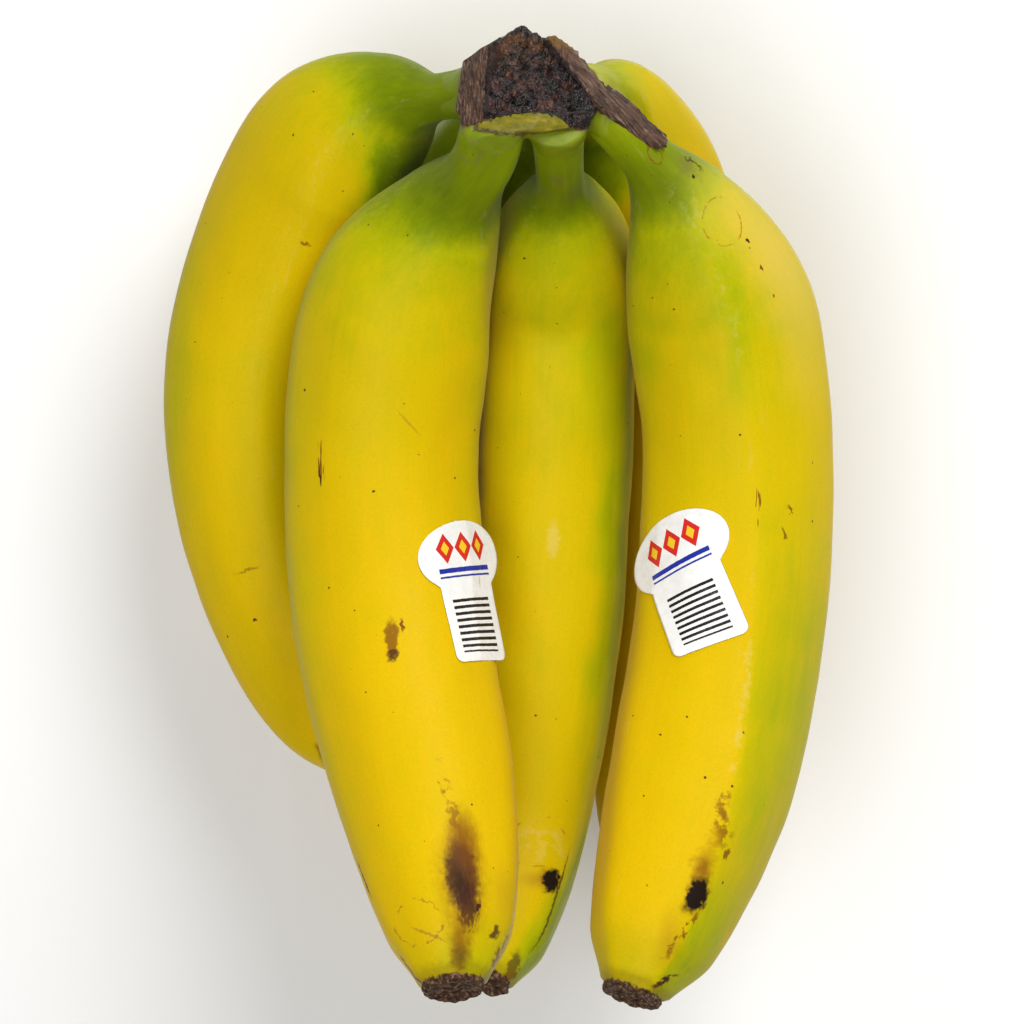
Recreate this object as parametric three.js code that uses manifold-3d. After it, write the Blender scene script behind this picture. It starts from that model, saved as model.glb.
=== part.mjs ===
// A hand of six bananas on one crown, lying on its outer curve with the crown's cut face and the
// blossom ends turned up. Millimetres, +Z up, +Y towards the crown, origin on the surface it lies on.
import * as THREE from 'three';
import { ConvexGeometry } from 'three/addons/geometries/ConvexGeometry.js';
import { mergeVertices } from 'three/addons/utils/BufferGeometryUtils.js';
import Module from 'manifold-3d';

const wasm = await Module();
wasm.setup();

// Driving dimensions
const sidesAround = 20;            // flats round one banana
const stationsAlong = 30;          // rings from its neck to its blossom end
const nubLength = 12;              // the last narrowing before the blossom end
const ridgeRise = 0.055;           // how far a ridge stands out, as a share of the radius
const ridgeWidth = 15;             // half width of a ridge, degrees round the banana
const socketGap = 0.45;            // clearance between a neck and the crown it grows from
const socketDepth = 16;            // how much of each neck is cleared out of the crown
const labelGap = 0.35;             // clearance between a label and the peel
const labelThickness = 0.35;
const labelHeadWidth = 23.4;       // the oval end of a label
const labelHeadHeight = 15.4;
const labelTailLength = 20.8;      // from the middle of the oval end to the square end
const labelTailWidth = 15.2;
const labelCorner = 1.6;
const labelReach = 10;             // how far the outline is stamped above and below the peel

// How the bunch lies at rest, turned from the pose in which the fingers below are measured
const restPitch = THREE.MathUtils.degToRad(-1.3);
const restRoll = THREE.MathUtils.degToRad(4.6);

const peelGreen = '#a9b424';
const peelYellow = '#e2b90f';
const crownBrown = '#3b2a20';
const labelWhite = '#f1f0ec';

// Each banana: radii of its neck, belly and blossom end, the length of bare neck, of the shoulder
// where it swells and of the taper to the blossom end, its five ridges in degrees from the top
// towards +X, how far they twist on the way, and its middle line from the crown to the blossom end.
const bananas = [
  {
    name: 'banana_front_left',
    neck: 6.4, belly: 20.2, end: 6.3,
    neckLength: 12, shoulder: 56, taper: 80,
    ridges: [-66, 70, 125, 180, 235], twist: 0,
    line: [
      [-3.5, 77, 34], [-5.5, 70, 29], [-13.5, 60, 12], [-22.5, 43.5, 0], [-26.5, 21, -5],
      [-26.5, -3.5, -5], [-23, -32.5, 1], [-16.5, -62, 12.5], [-12.8, -81, 23.5], [-11.6, -94.2, 30.5],
    ],
  },
  {
    name: 'banana_front_middle',
    neck: 5.0, belly: 16.5, end: 3.9,
    neckLength: 17, shoulder: 42, taper: 92,
    ridges: [-60, 56, 115, 180, 240], twist: 0,
    line: [
      [9, 75, 28.5], [9.5, 69.5, 20], [10, 62.5, 1], [10, 44.5, -19.5], [9.5, 21.5, -25],
      [8.5, -6, -27], [6, -35.5, -26], [2.6, -64.5, -20], [-0.8, -84.5, -10], [-4.5, -97, 0],
    ],
  },
  {
    name: 'banana_front_right',
    neck: 5.2, belly: 19.5, end: 6.1,
    neckLength: 13, shoulder: 54, taper: 68,
    ridges: [-8, 62, 132, 207, 277], twist: 33,
    line: [
      [16.5, 82, 24.5], [24, 74, 22.5], [33.6, 62.7, 10], [41.9, 43.5, -2], [45.9, 21, -6],
      [46, -3.5, -6], [42.5, -34.5, -2], [35.8, -62.5, 7], [28.6, -84, 16], [23.8, -96.8, 21],
    ],
  },
  {
    name: 'banana_back_left',
    neck: 4.6, belly: 18.8, end: 5.0,
    neckLength: 8, shoulder: 46, taper: 100,
    ridges: [-70, 10, 75, 140, 215], twist: 0,
    line: [
      [-7.5, 84.5, 14], [-14.5, 84.2, 8], [-25.5, 83.6, -5], [-38, 75, -18], [-51.6, 47.5, -31],
      [-55.8, 17.5, -35], [-51.8, -10.5, -34], [-44, -33.5, -29], [-37.2, -45.5, -23], [-32.5, -52.5, -17],
    ],
  },
  {
    name: 'banana_back_middle',
    neck: 4.6, belly: 18.0, end: 5.0,
    neckLength: 16, shoulder: 54, taper: 85,
    ridges: [-70, 10, 75, 140, 215], twist: 0,
    line: [
      [3.5, 85.5, 10], [1.5, 84, -7], [-3, 79, -26], [-8.5, 61, -45], [-12, 35.5, -55],
      [-13.5, 9, -59], [-14, -19.5, -58], [-13.5, -45.5, -54], [-12, -67, -47], [-11, -79, -40],
    ],
  },
  {
    name: 'banana_back_right',
    neck: 4.6, belly: 18.0, end: 5.0,
    neckLength: 17, shoulder: 54, taper: 85,
    ridges: [-70, 10, 75, 140, 215], twist: 0,
    line: [
      [12.5, 85, 14.5], [16.4, 87, 0], [22.2, 85.6, -18], [27.6, 69.4, -40], [34.8, 39, -51],
      [36.5, 9, -55], [35, -19.5, -54], [32.5, -47.5, -49], [30, -68.5, -42], [29, -81, -35],
    ],
  },
];

// The crown's corners: the sloping cut face, the side cuts, and the flesh round the necks
const cutFace = [
  [-5.5, 92.5, 22], [2, 96, 20], [8.5, 94.5, 21], [-6, 79.5, 38.5], [6, 79, 39], [15, 81.5, 32],
];
const sideCuts = [
  [-10, 89.5, 22], [-11, 80, 29], [-11, 80, 9], [-9.5, 89.5, 8],
  [14.5, 90.5, 19], [19, 86, 20], [20.5, 82.5, 28], [21, 81, 16],
];
const neckFlesh = [
  [-9.5, 75.5, 33], [-4, 73.5, 39.5], [6.5, 74, 36.5], [13, 75.5, 30], [-7, 75, 22],
  [12, 76, 18], [-6, 79, 3], [18, 80, 4], [-4, 90, 3], [8, 91, 2], [18, 88, 5],
];

// Each label: the banana it is stuck to, how far along (share of the length) and round it the middle
// of its oval end is, and how far its tail leans round the banana, in degrees.
const labels = [
  { name: 'label_left', on: 'banana_front_left', share: 0.545, angle: 52, lean: 7 },
  { name: 'label_right', on: 'banana_front_right', share: 0.53, angle: -42, lean: 28 },
];

const vector = (point) => new THREE.Vector3(...point);
const middleLine = (banana) => new THREE.CatmullRomCurve3(banana.line.map(vector));

function swelling(distance, length, banana) {
  const along = THREE.MathUtils.clamp((distance - banana.neckLength) / banana.shoulder, 0, 1);
  const shoulder = 1 - (1 - along) ** 3 * (1 + 3 * along);
  const back = THREE.MathUtils.clamp((length - distance) / banana.taper, 0, 1);
  const tip = (1 - (1 - back) ** 2) ** 0.6;
  return shoulder * tip * THREE.MathUtils.smoothstep(length - distance, -nubLength / 2, nubLength);
}

function radiusAt(distance, length, banana) {
  const plain = THREE.MathUtils.lerp(banana.neck, banana.end, distance / length);
  return plain + (banana.belly - plain) * swelling(distance, length, banana);
}

function ridgeShape(angle, share, banana) {
  let factor = 1 - ridgeRise / 3;
  for (const ridge of banana.ridges) {
    const turn = angle - ridge - banana.twist * share;
    const apart = THREE.MathUtils.euclideanModulo(turn + 180, 360) - 180;
    factor += ridgeRise * Math.exp(-((apart / ridgeWidth) ** 2));
  }
  return factor;
}

// The direction along the middle line, the one across it that looks up, and the one to its right
function frameAt(curve, share) {
  const along = curve.getTangentAt(share);
  const up = new THREE.Vector3(0, 0, 1).projectOnPlane(along).normalize();
  const right = new THREE.Vector3().crossVectors(up, along);
  return { point: curve.getPointAt(share), along, up, right };
}

// A turned body bent along the middle line; the skin can be made proud of the peel by an offset
function bananaGeometry(banana, offset = 0) {
  const curve = middleLine(banana);
  const length = curve.getLength();
  const profile = [new THREE.Vector2(0, 0)];
  for (let station = 0; station <= stationsAlong; station++) {
    const distance = (length * station) / stationsAlong;
    profile.push(new THREE.Vector2(radiusAt(distance, length, banana) + offset, distance));
  }
  profile.push(new THREE.Vector2(0, length));

  const geometry = new THREE.LatheGeometry(profile, sidesAround);
  const position = geometry.getAttribute('position');
  for (let i = 0; i < position.count; i++) {
    const local = new THREE.Vector3().fromBufferAttribute(position, i);
    const share = Math.min(local.y / length, 1);
    const angle = THREE.MathUtils.radToDeg(Math.atan2(-local.x, local.z));
    const scale = ridgeShape(angle, share, banana);
    const frame = frameAt(curve, share);
    const bent = frame.point;
    bent.addScaledVector(frame.up, local.z * scale);
    bent.addScaledVector(frame.right, -local.x * scale);
    position.setXYZ(i, bent.x, bent.y, bent.z);
  }
  return geometry;
}

function toSolid(geometry) {
  const plain = geometry.clone();
  plain.deleteAttribute('normal');
  plain.deleteAttribute('uv');
  const merged = mergeVertices(plain, 1e-3);
  const mesh = new wasm.Mesh({
    numProp: 3,
    vertProperties: Float32Array.from(merged.getAttribute('position').array),
    triVerts: Uint32Array.from(merged.index.array),
  });
  return new wasm.Manifold(mesh);
}

function toGeometry(solid) {
  const mesh = solid.getMesh();
  const geometry = new THREE.BufferGeometry();
  geometry.setAttribute('position', new THREE.BufferAttribute(mesh.vertProperties, 3));
  geometry.setIndex(new THREE.BufferAttribute(mesh.triVerts, 1));
  geometry.computeVertexNormals();
  return geometry;
}

// The round room that one neck takes in the crown
function neckSocket(banana) {
  const frame = frameAt(middleLine(banana), 0);
  const radius = banana.neck * (1 + ridgeRise) + socketGap;
  const room = new THREE.CylinderGeometry(radius, radius, socketDepth, 24);
  room.translate(0, socketDepth / 2 - socketGap, 0);
  const stand = new THREE.Quaternion().setFromUnitVectors(new THREE.Vector3(0, 1, 0), frame.along);
  room.applyQuaternion(stand);
  room.translate(...frame.point.toArray());
  return toSolid(room);
}

function crownGeometry() {
  const corners = [...cutFace, ...sideCuts, ...neckFlesh].map(vector);
  let crown = toSolid(new ConvexGeometry(corners));
  for (const banana of bananas) crown = crown.subtract(neckSocket(banana));
  return toGeometry(crown);
}

// An oval head and a square-ended tail, drawn head up about the middle of the head
function labelOutline() {
  const half = labelTailWidth / 2;
  const cornerX = half - labelCorner;
  const cornerY = labelCorner - labelTailLength;
  const headX = labelHeadWidth / 2;
  const headY = labelHeadHeight / 2;
  const joinAngle = -Math.acos(half / headX);
  const outline = new THREE.Shape();
  outline.moveTo(half, headY * Math.sin(joinAngle));
  outline.absellipse(0, 0, headX, headY, joinAngle, Math.PI - joinAngle, false);
  outline.lineTo(-half, cornerY);
  outline.absarc(-cornerX, cornerY, labelCorner, Math.PI, Math.PI * 1.5, false);
  outline.lineTo(cornerX, -labelTailLength);
  outline.absarc(cornerX, cornerY, labelCorner, Math.PI * 1.5, Math.PI * 2, false);
  outline.closePath();
  return outline;
}

// Where a label sits: x round the banana, y towards the crown and z straight out of the peel
function labelPlace(label, banana) {
  const curve = middleLine(banana);
  const length = curve.getLength();
  const frame = frameAt(curve, label.share);
  const turn = THREE.MathUtils.degToRad(label.angle);
  const out = frame.up.clone().multiplyScalar(Math.cos(turn)).addScaledVector(frame.right, Math.sin(turn));
  const crownward = frame.along.clone().negate();
  const across = new THREE.Vector3().crossVectors(crownward, out);
  const radius = radiusAt(length * label.share, length, banana);
  const middle = frame.point.addScaledVector(out, radius);
  return new THREE.Matrix4().makeBasis(across, crownward, out).setPosition(middle);
}

// A thin skin just proud of the peel, stamped out in the label's outline
function labelGeometry(label) {
  const banana = bananas.find((one) => one.name === label.on);
  const inner = toSolid(bananaGeometry(banana, labelGap));
  const outer = toSolid(bananaGeometry(banana, labelGap + labelThickness));
  const stamp = new THREE.ExtrudeGeometry(labelOutline(), {
    depth: 2 * labelReach,
    bevelEnabled: false,
    curveSegments: 8,
  });
  stamp.translate(0, 0, -labelReach);
  stamp.rotateZ(THREE.MathUtils.degToRad(label.lean));
  stamp.applyMatrix4(labelPlace(label, banana));
  return toGeometry(outer.subtract(inner).intersect(toSolid(stamp)));
}

function material(name, color, roughness) {
  return new THREE.MeshStandardMaterial({ name, color, roughness, metalness: 0 });
}

const peel = material('peel', peelYellow, 0.45);
const greenPeel = material('green_peel', peelGreen, 0.45);
const cutCrown = material('cut_crown', crownBrown, 0.8);
const labelPaper = material('label_paper', labelWhite, 0.35);

function node(name, geometry, finish) {
  const mesh = new THREE.Mesh(geometry, finish);
  mesh.name = name;
  return mesh;
}

const bunch = new THREE.Group();
bunch.rotation.set(restPitch, restRoll, 0);
bunch.add(node('crown', crownGeometry(), cutCrown));
for (const banana of bananas) {
  const finish = banana.name.includes('back') ? greenPeel : peel;
  bunch.add(node(banana.name, bananaGeometry(banana), finish));
}
for (const label of labels) bunch.add(node(label.name, labelGeometry(label), labelPaper));

// The origin is the middle of the bunch's footprint, on the surface it lies on
const part = new THREE.Group();
part.add(bunch);
part.updateMatrixWorld(true);
const bounds = new THREE.Box3().setFromObject(part, true);
const middle = bounds.getCenter(new THREE.Vector3());
bunch.position.set(-middle.x, -middle.y, -bounds.min.z);

export default part;
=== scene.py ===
import math
import bmesh
import bpy
from mathutils import Matrix, Vector, kdtree, noise


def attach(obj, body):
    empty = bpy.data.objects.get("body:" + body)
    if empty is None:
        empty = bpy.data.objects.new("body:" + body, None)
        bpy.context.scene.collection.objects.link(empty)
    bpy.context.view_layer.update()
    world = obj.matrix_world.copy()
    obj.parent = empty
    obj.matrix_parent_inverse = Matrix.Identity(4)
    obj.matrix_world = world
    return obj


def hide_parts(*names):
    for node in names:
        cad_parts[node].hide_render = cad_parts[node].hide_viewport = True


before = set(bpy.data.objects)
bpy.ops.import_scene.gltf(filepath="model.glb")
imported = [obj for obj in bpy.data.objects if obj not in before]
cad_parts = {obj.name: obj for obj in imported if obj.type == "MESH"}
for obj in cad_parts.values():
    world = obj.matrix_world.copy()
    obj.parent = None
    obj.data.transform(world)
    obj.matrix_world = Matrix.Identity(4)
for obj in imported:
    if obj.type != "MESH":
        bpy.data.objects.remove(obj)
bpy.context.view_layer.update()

mm = 0.001

# The fingers are measured with the crown's cut face up; the bunch is then turned to lie on its back row.
bunchPose = {
    "pitch": -1.3,                   # degrees about X
    "roll": 4.6,                     # degrees about Y
    "shift": (5.68, 1.55, 75.59),    # mm, to the middle of the footprint
}


def bunchMatrix():
    turn = Matrix.Rotation(math.radians(bunchPose["pitch"]), 4, "X")
    turn = turn @ Matrix.Rotation(math.radians(bunchPose["roll"]), 4, "Y")
    return Matrix.Scale(mm, 4) @ Matrix.Translation(bunchPose["shift"]) @ turn


toPart = bunchMatrix()


def lerp(a, b, t):
    return a + (b - a) * t


def clamp(value, low=0.0, high=1.0):
    return max(low, min(high, value))


def smooth(low, high, value):
    t = clamp((value - low) / (high - low))
    return t * t * (3 - 2 * t)


def bell(value, middle, width):
    # 1 at the middle, falling to 0 on both sides
    return math.exp(-(((value - middle) / width) ** 2))


camera = {
    "height": 800,           # mm above the middle of the fingers
    "fieldWidth": 209.92,    # mm seen across at that distance
    "sensor": 36,            # mm
    "clip": (0.05, 20),      # metres
}


def placeCamera():
    data = bpy.data.cameras.new("camera")
    data.sensor_width = camera["sensor"]
    data.angle = 2 * math.atan(camera["fieldWidth"] / 2 / camera["height"])
    data.clip_start, data.clip_end = camera["clip"]
    viewer = bpy.data.objects.new("camera", data)
    bpy.context.scene.collection.objects.link(viewer)
    location, rotation, _ = (toPart @ Matrix.Translation((0, 0, camera["height"]))).decompose()
    viewer.location = location
    viewer.rotation_euler = rotation.to_euler()
    bpy.context.scene.camera = viewer


lights = {
    # name: (place in metres, size, watts, colour)
    "key": ((0.42, 0.64, 0.96), 0.6, 10.2, (1.0, 0.99, 0.97)),
    "top": ((-0.2, -0.34, 1.28), 0.9, 9.8, (1.0, 1.0, 1.0)),
    "rim": ((0.45, 1.25, 0.36), 0.35, 3.5, (1.0, 1.0, 1.0)),
}
lightAim = Vector((0, 0, 0.06))    # metres, the middle of the bunch
ambient = 0.18


def placeLights():
    for name, (place, size, watts, colour) in lights.items():
        data = bpy.data.lights.new(name, "AREA")
        data.shape = "DISK"
        data.size = size
        data.energy = watts
        data.color = colour
        lamp = bpy.data.objects.new(name, data)
        bpy.context.scene.collection.objects.link(lamp)
        lamp.location = place
        lamp.rotation_euler = (lightAim - Vector(place)).to_track_quat("-Z", "Y").to_euler()
    world = bpy.data.worlds.new("studio")
    world.use_nodes = True
    sky = world.node_tree.nodes["Background"].inputs
    sky["Color"].default_value = (1, 1, 1, 1)
    sky["Strength"].default_value = ambient
    bpy.context.scene.world = world


def newObject(name, mesh):
    data = bpy.data.meshes.new(name)
    mesh.to_mesh(data)
    mesh.free()
    for face in data.polygons:
        face.use_smooth = True
    made = bpy.data.objects.new(name, data)
    bpy.context.scene.collection.objects.link(made)
    return made


def newFinish(name):
    finish = bpy.data.materials.new(name)
    finish.use_nodes = True
    tree = finish.node_tree
    return finish, tree, tree.nodes["Principled BSDF"]


floorLook = {
    "reach": 3,              # metres from the middle
    "colour": (0.88, 0.88, 0.88, 1),
    "roughness": 0.9,
    "specular": 0.1,
}


def layFloor():
    sheet = bmesh.new()
    bmesh.ops.create_grid(sheet, x_segments=1, y_segments=1, size=floorLook["reach"])
    floor = newObject("floor", sheet)
    paint, _, shader = newFinish("paleFloor")
    shader.inputs["Base Color"].default_value = floorLook["colour"]
    shader.inputs["Roughness"].default_value = floorLook["roughness"]
    shader.inputs["Specular IOR Level"].default_value = floorLook["specular"]
    floor.data.materials.append(paint)


# node helpers
def addNode(tree, kind, sockets=None, **settings):
    # a node with its settings made and its sockets filled or linked
    node = tree.nodes.new(kind)
    for name, value in settings.items():
        setattr(node, name, value)
    for name, value in (sockets or {}).items():
        if isinstance(value, bpy.types.NodeSocket):
            tree.links.new(value, node.inputs[name])
        else:
            node.inputs[name].default_value = value
    return node


def maths(tree, operation, a, b=0.0):
    return addNode(tree, "ShaderNodeMath", {0: a, 1: b}, operation=operation).outputs[0]


def vectorMaths(tree, operation, a, b):
    return addNode(tree, "ShaderNodeVectorMath", {0: a, 1: b}, operation=operation).outputs[0]


def ease(tree, value, low, high, full=1.0):
    # smoothly from 0 at low to full at high, or down if low is the larger
    sockets = {"Value": value, "From Min": low, "From Max": high, "To Max": full}
    if low > high:
        sockets = {"Value": value, "From Min": high, "From Max": low, "To Min": full, "To Max": 0.0}
    return addNode(tree, "ShaderNodeMapRange", sockets, interpolation_type="SMOOTHSTEP").outputs[0]


def stretch(tree, value, low, high):
    # noise about 0.5 spread over low to high
    sockets = {"Value": value, "From Min": 0.25, "From Max": 0.75, "To Min": low, "To Max": high}
    return addNode(tree, "ShaderNodeMapRange", sockets, clamp=False).outputs[0]


def blend(tree, amount, first, second):
    node = addNode(tree, "ShaderNodeMix", data_type="RGBA")
    for index, value in ((0, amount), (6, first), (7, second)):
        if isinstance(value, bpy.types.NodeSocket):
            tree.links.new(value, node.inputs[index])
        elif index:
            node.inputs[index].default_value = (*value, 1)
        else:
            node.inputs[index].default_value = value
    return node.outputs[2]


def gradient(tree, value, stops, interpolation="EASE"):
    # stops are (place from 0 to 1, colour or grey)
    node = addNode(tree, "ShaderNodeValToRGB", {"Fac": value})
    node.color_ramp.interpolation = interpolation
    while len(node.color_ramp.elements) < len(stops):
        node.color_ramp.elements.new(0.5)
    for element, (place, colour) in zip(node.color_ramp.elements, stops):
        element.position = place
        element.color = (*colour, 1) if isinstance(colour, tuple) else (colour, colour, colour, 1)
    return node.outputs[0]


def grain(tree, vector, size, detail=3.0, part="Fac"):
    # noise whose blotches are about size mm across; size may be different each way
    scale = (1 / size,) * 3 if isinstance(size, (int, float)) else tuple(1 / side for side in size)
    spread = vectorMaths(tree, "MULTIPLY", vector, scale)
    sockets = {"Vector": spread, "Scale": 1.0, "Detail": detail, "Roughness": 0.6}
    return addNode(tree, "ShaderNodeTexNoise", sockets).outputs[part]


def lightGrain(tree, vector, look, detail=4.0):
    # where the grain is lighter than "from", fully so from "to" on
    light = grain(tree, vector, look["size"], detail)
    return ease(tree, light, look["from"], look["to"], look.get("strength", 1.0))


def shaken(tree, vector, size, amount, detail=3.0):
    # the coordinates moved about by noise, by up to about amount mm
    push = vectorMaths(tree, "SUBTRACT", grain(tree, vector, size, detail, "Color"), (0.5, 0.5, 0.5))
    reach = (amount * 2,) * 3 if isinstance(amount, (int, float)) else tuple(a * 2 for a in amount)
    return vectorMaths(tree, "ADD", vector, vectorMaths(tree, "MULTIPLY", push, reach))


def attribute(tree, name, part="Vector"):
    node = addNode(tree, "ShaderNodeAttribute", attribute_name=name, attribute_type="GEOMETRY")
    return node.outputs[part]


def split(tree, vector):
    # the three coordinates apart
    return addNode(tree, "ShaderNodeSeparateXYZ", {0: vector}).outputs


def scaled(tree, value, share):
    return maths(tree, "MULTIPLY", value, share)


# One dictionary a banana, lengths in mm. The middle line runs from the crown to the blossom end; ridges
# are in degrees round it from the top towards +X and turn by twist on the way. Greens are (mm along, how
# green); patches and marks are at (degrees round, mm along), and size is half their width and length. A
# mark's edge is ragged unless it says otherwise. Trims are flat cuts, until so far along the neck. Some
# green patches, and the far greens of back_middle, are painted shade where a neighbour shades the peel.
frontLeft = {
    "node": "banana_front_left",
    "neck": 6.4, "belly": 20.2, "end": 6.3, "flare": 0.03,
    "trims": [
        {"facing": (-0.602, 0.532, 0.594), "level": 65.9, "until": 8},
        {"facing": (-0.234, 0.146, 0.962), "level": 46.8, "until": 6},
        {"facing": (0, -0.633, 0.774), "level": -17.6, "edge": 2.0, "until": 20},
    ],
    "neckLength": 12, "shoulder": 56, "taper": 80,
    "ridges": (-66, 70, 125, 180, 235), "twist": 0,
    "line": [
        (-3.5, 77, 34), (-5.5, 70, 29), (-13.5, 60, 12), (-22.5, 43.5, 0), (-26.5, 21, -5),
        (-26.5, -3.5, -5), (-23, -32.5, 1), (-16.5, -62, 12.5), (-12.8, -81, 23.5), (-11.6, -94.2, 30.5),
    ],
    "greens": [
        (0, 0.92), (8, 0.90), (16, 0.90), (22, 0.84), (27, 0.66), (32, 0.49), (38, 0.37), (46, 0.28),
        (60, 0.18), (90, 0.07), (150, 0.02), (184, 0.04), (192, 0.14), (197, 0.36), (201, 0.5),
    ],
    "slant": 0.45,
    "greenAndShadePatches": [
        {"at": (72, 80), "size": (11, 70), "strength": 0.2},
        {"at": (-72, 110), "size": (13, 90), "strength": 0.26},
        {"at": (180, 60), "size": (22, 70), "strength": 0.2},
    ],
    "marks": [
        {"at": (-36, 87), "size": (0.7, 4.6), "ink": "rust", "edge": "streaked", "strength": 0.85},
        {"at": (-37, 89), "size": (0.35, 2.6), "ink": "bruise", "edge": "streaked"},
        {"at": (17.5, 77), "size": (0.35, 5), "lean": 42, "ink": "tan", "edge": "fine", "strength": 0.55},
        {"at": (0, 129), "size": (1.8, 6.0), "lean": -4, "ink": "rust", "strength": 0.85},
        {"at": (0, 132.5), "size": (1.2, 2.4), "ink": "bruise", "patchy": 0.46, "strength": 0.8},
        {"at": (6.5, 126), "size": (0.5, 2.2), "ink": "rust"},
        {"at": (15, 162), "size": (1.2, 6), "ink": "rust", "patchy": 0.5, "strength": 0.6},
        {"at": (19, 169), "size": (1.6, 7), "ink": "rust", "patchy": 0.47, "strength": 0.6},
        {"at": (24, 175), "size": (4.8, 9), "ink": "rust", "soft": 1.0, "strength": 0.8},
        {"at": (19, 184), "size": (7.2, 14), "ink": "rust", "soft": 1.0, "strength": 0.85},
        {"at": (19, 182.5), "size": (4.5, 8.4), "ink": "bruise", "soft": 0.5, "strength": 0.92},
        {"at": (21, 188), "size": (3.0, 5.6), "ink": "bruise", "edge": "streaked", "soft": 0.6,
         "strength": 0.9},
        {"at": (24, 178), "size": (5.5, 9), "ink": "rust", "edge": "streaked", "soft": 0.9,
         "strength": 0.5},
        {"at": (30, 188), "size": (0.8, 0.6), "ink": "bruise"},
        {"at": (16, 183.5), "size": (2.6, 5.4), "ink": "dark", "soft": 1.0, "strength": 0.6},
        {"at": (14, 194), "size": (3.8, 8), "ink": "rust", "soft": 1.0, "strength": 0.8},
        {"at": (14, 197), "size": (2.8, 3.8), "ink": "bruise", "soft": 1.0, "strength": 0.7},
        {"at": (54, 191.5), "size": (1.3, 1.7), "lean": -40, "ink": "bruise", "strength": 0.9},
        {"at": (55, 186), "size": (5, 10), "ink": "tan", "edge": "loose", "soft": 1.0, "strength": 0.3},
        {"at": (78, 194), "size": (2.4, 6), "ink": "rust", "patchy": 0.47, "strength": 0.8},
        {"at": (-30, 189.5), "size": (5.5, 4.4), "ring": 0.05, "ink": "tan", "patchy": 0.45},
        {"at": (-22, 192), "size": (0.35, 5), "lean": 60, "ink": "tan", "edge": "fine", "strength": 0.7},
        {"at": (-68, 176), "size": (0.4, 6), "ink": "bruise", "edge": "fine"},
        {"at": (-15, 8), "size": (4.5, 4.5), "ink": "olive", "patchy": 0.5, "strength": 0.45},
        {"at": (-78, 196), "size": (0.9, 5), "ink": "bruise", "patchy": 0.42},
        {"at": (-3, 94), "size": (0.35, 0.35), "ink": "bruise", "edge": "fine"},
        {"at": (24, 85), "size": (0.3, 0.3), "ink": "bruise", "edge": "fine"},
    ],
    "seed": 3,
}
frontMiddle = {
    "node": "banana_front_middle",
    "neck": 5.0, "belly": 16.5, "end": 3.9, "flare": 0.10,
    "neckLength": 17, "shoulder": 42, "taper": 92,
    "ridges": (-60, 56, 115, 180, 240), "twist": 0,
    "line": [
        (9, 75, 28.5), (9.5, 69.5, 20), (10, 62.5, 1), (10, 44.5, -19.5), (9.5, 21.5, -25),
        (8.5, -6, -27), (6, -35.5, -26), (2.6, -64.5, -20), (-0.8, -84.5, -10), (-4.5, -97, 0),
    ],
    "greens": [
        (0, 0.84), (14, 0.84), (22, 0.80), (27, 0.60), (31, 0.44), (37, 0.34), (44, 0.29), (60, 0.25),
        (100, 0.24), (150, 0.22), (190, 0.2), (208, 0.34),
    ],
    "slant": 0.2,
    "greenAndShadePatches": [
        {"at": (34, 66), "size": (7, 34), "strength": 0.2},
        {"at": (58, 115), "size": (9, 80), "strength": 0.34},
        {"at": (80, 190), "size": (8.5, 30), "soft": 0.6, "strength": 0.42},
        {"at": (180, 60), "size": (20, 70), "strength": 0.2},
    ],
    "marks": [
        {"at": (0, 109), "size": (1.6, 5), "ink": "pale", "strength": 0.3},
        {"at": (19, 177), "size": (6.4, 5.6), "ink": "pale", "edge": "loose", "soft": 0.4, "patchy": 0.5,
         "strength": 0.2},
        {"at": (19, 177), "size": (6.4, 5.6), "ring": 0.05, "ink": "tan", "edge": "loose", "patchy": 0.5},
        {"at": (28, 185.5), "size": (6, 2.6), "ink": "tan", "edge": "loose", "soft": 1.0, "strength": 0.6},
        {"at": (37, 185), "size": (3.6, 3.8), "ink": "rust", "soft": 0.9, "strength": 0.8},
        {"at": (38.5, 185), "size": (2.5, 3.2), "ink": "dark", "soft": 0.4},
        {"at": (50, 189.5), "size": (0.35, 15), "ink": "bruise", "edge": "fine", "strength": 0.8},
        {"at": (-12, 8), "size": (2.6, 3.4), "ink": "olive", "patchy": 0.5, "strength": 0.45},
        {"at": (40, 205), "size": (2.0, 4.5), "lean": 18, "ink": "bruise", "strength": 0.75},
        {"at": (-40, 36), "size": (0.4, 0.4), "ink": "bruise", "edge": "fine"},
    ],
    "seed": 11,
}
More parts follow.
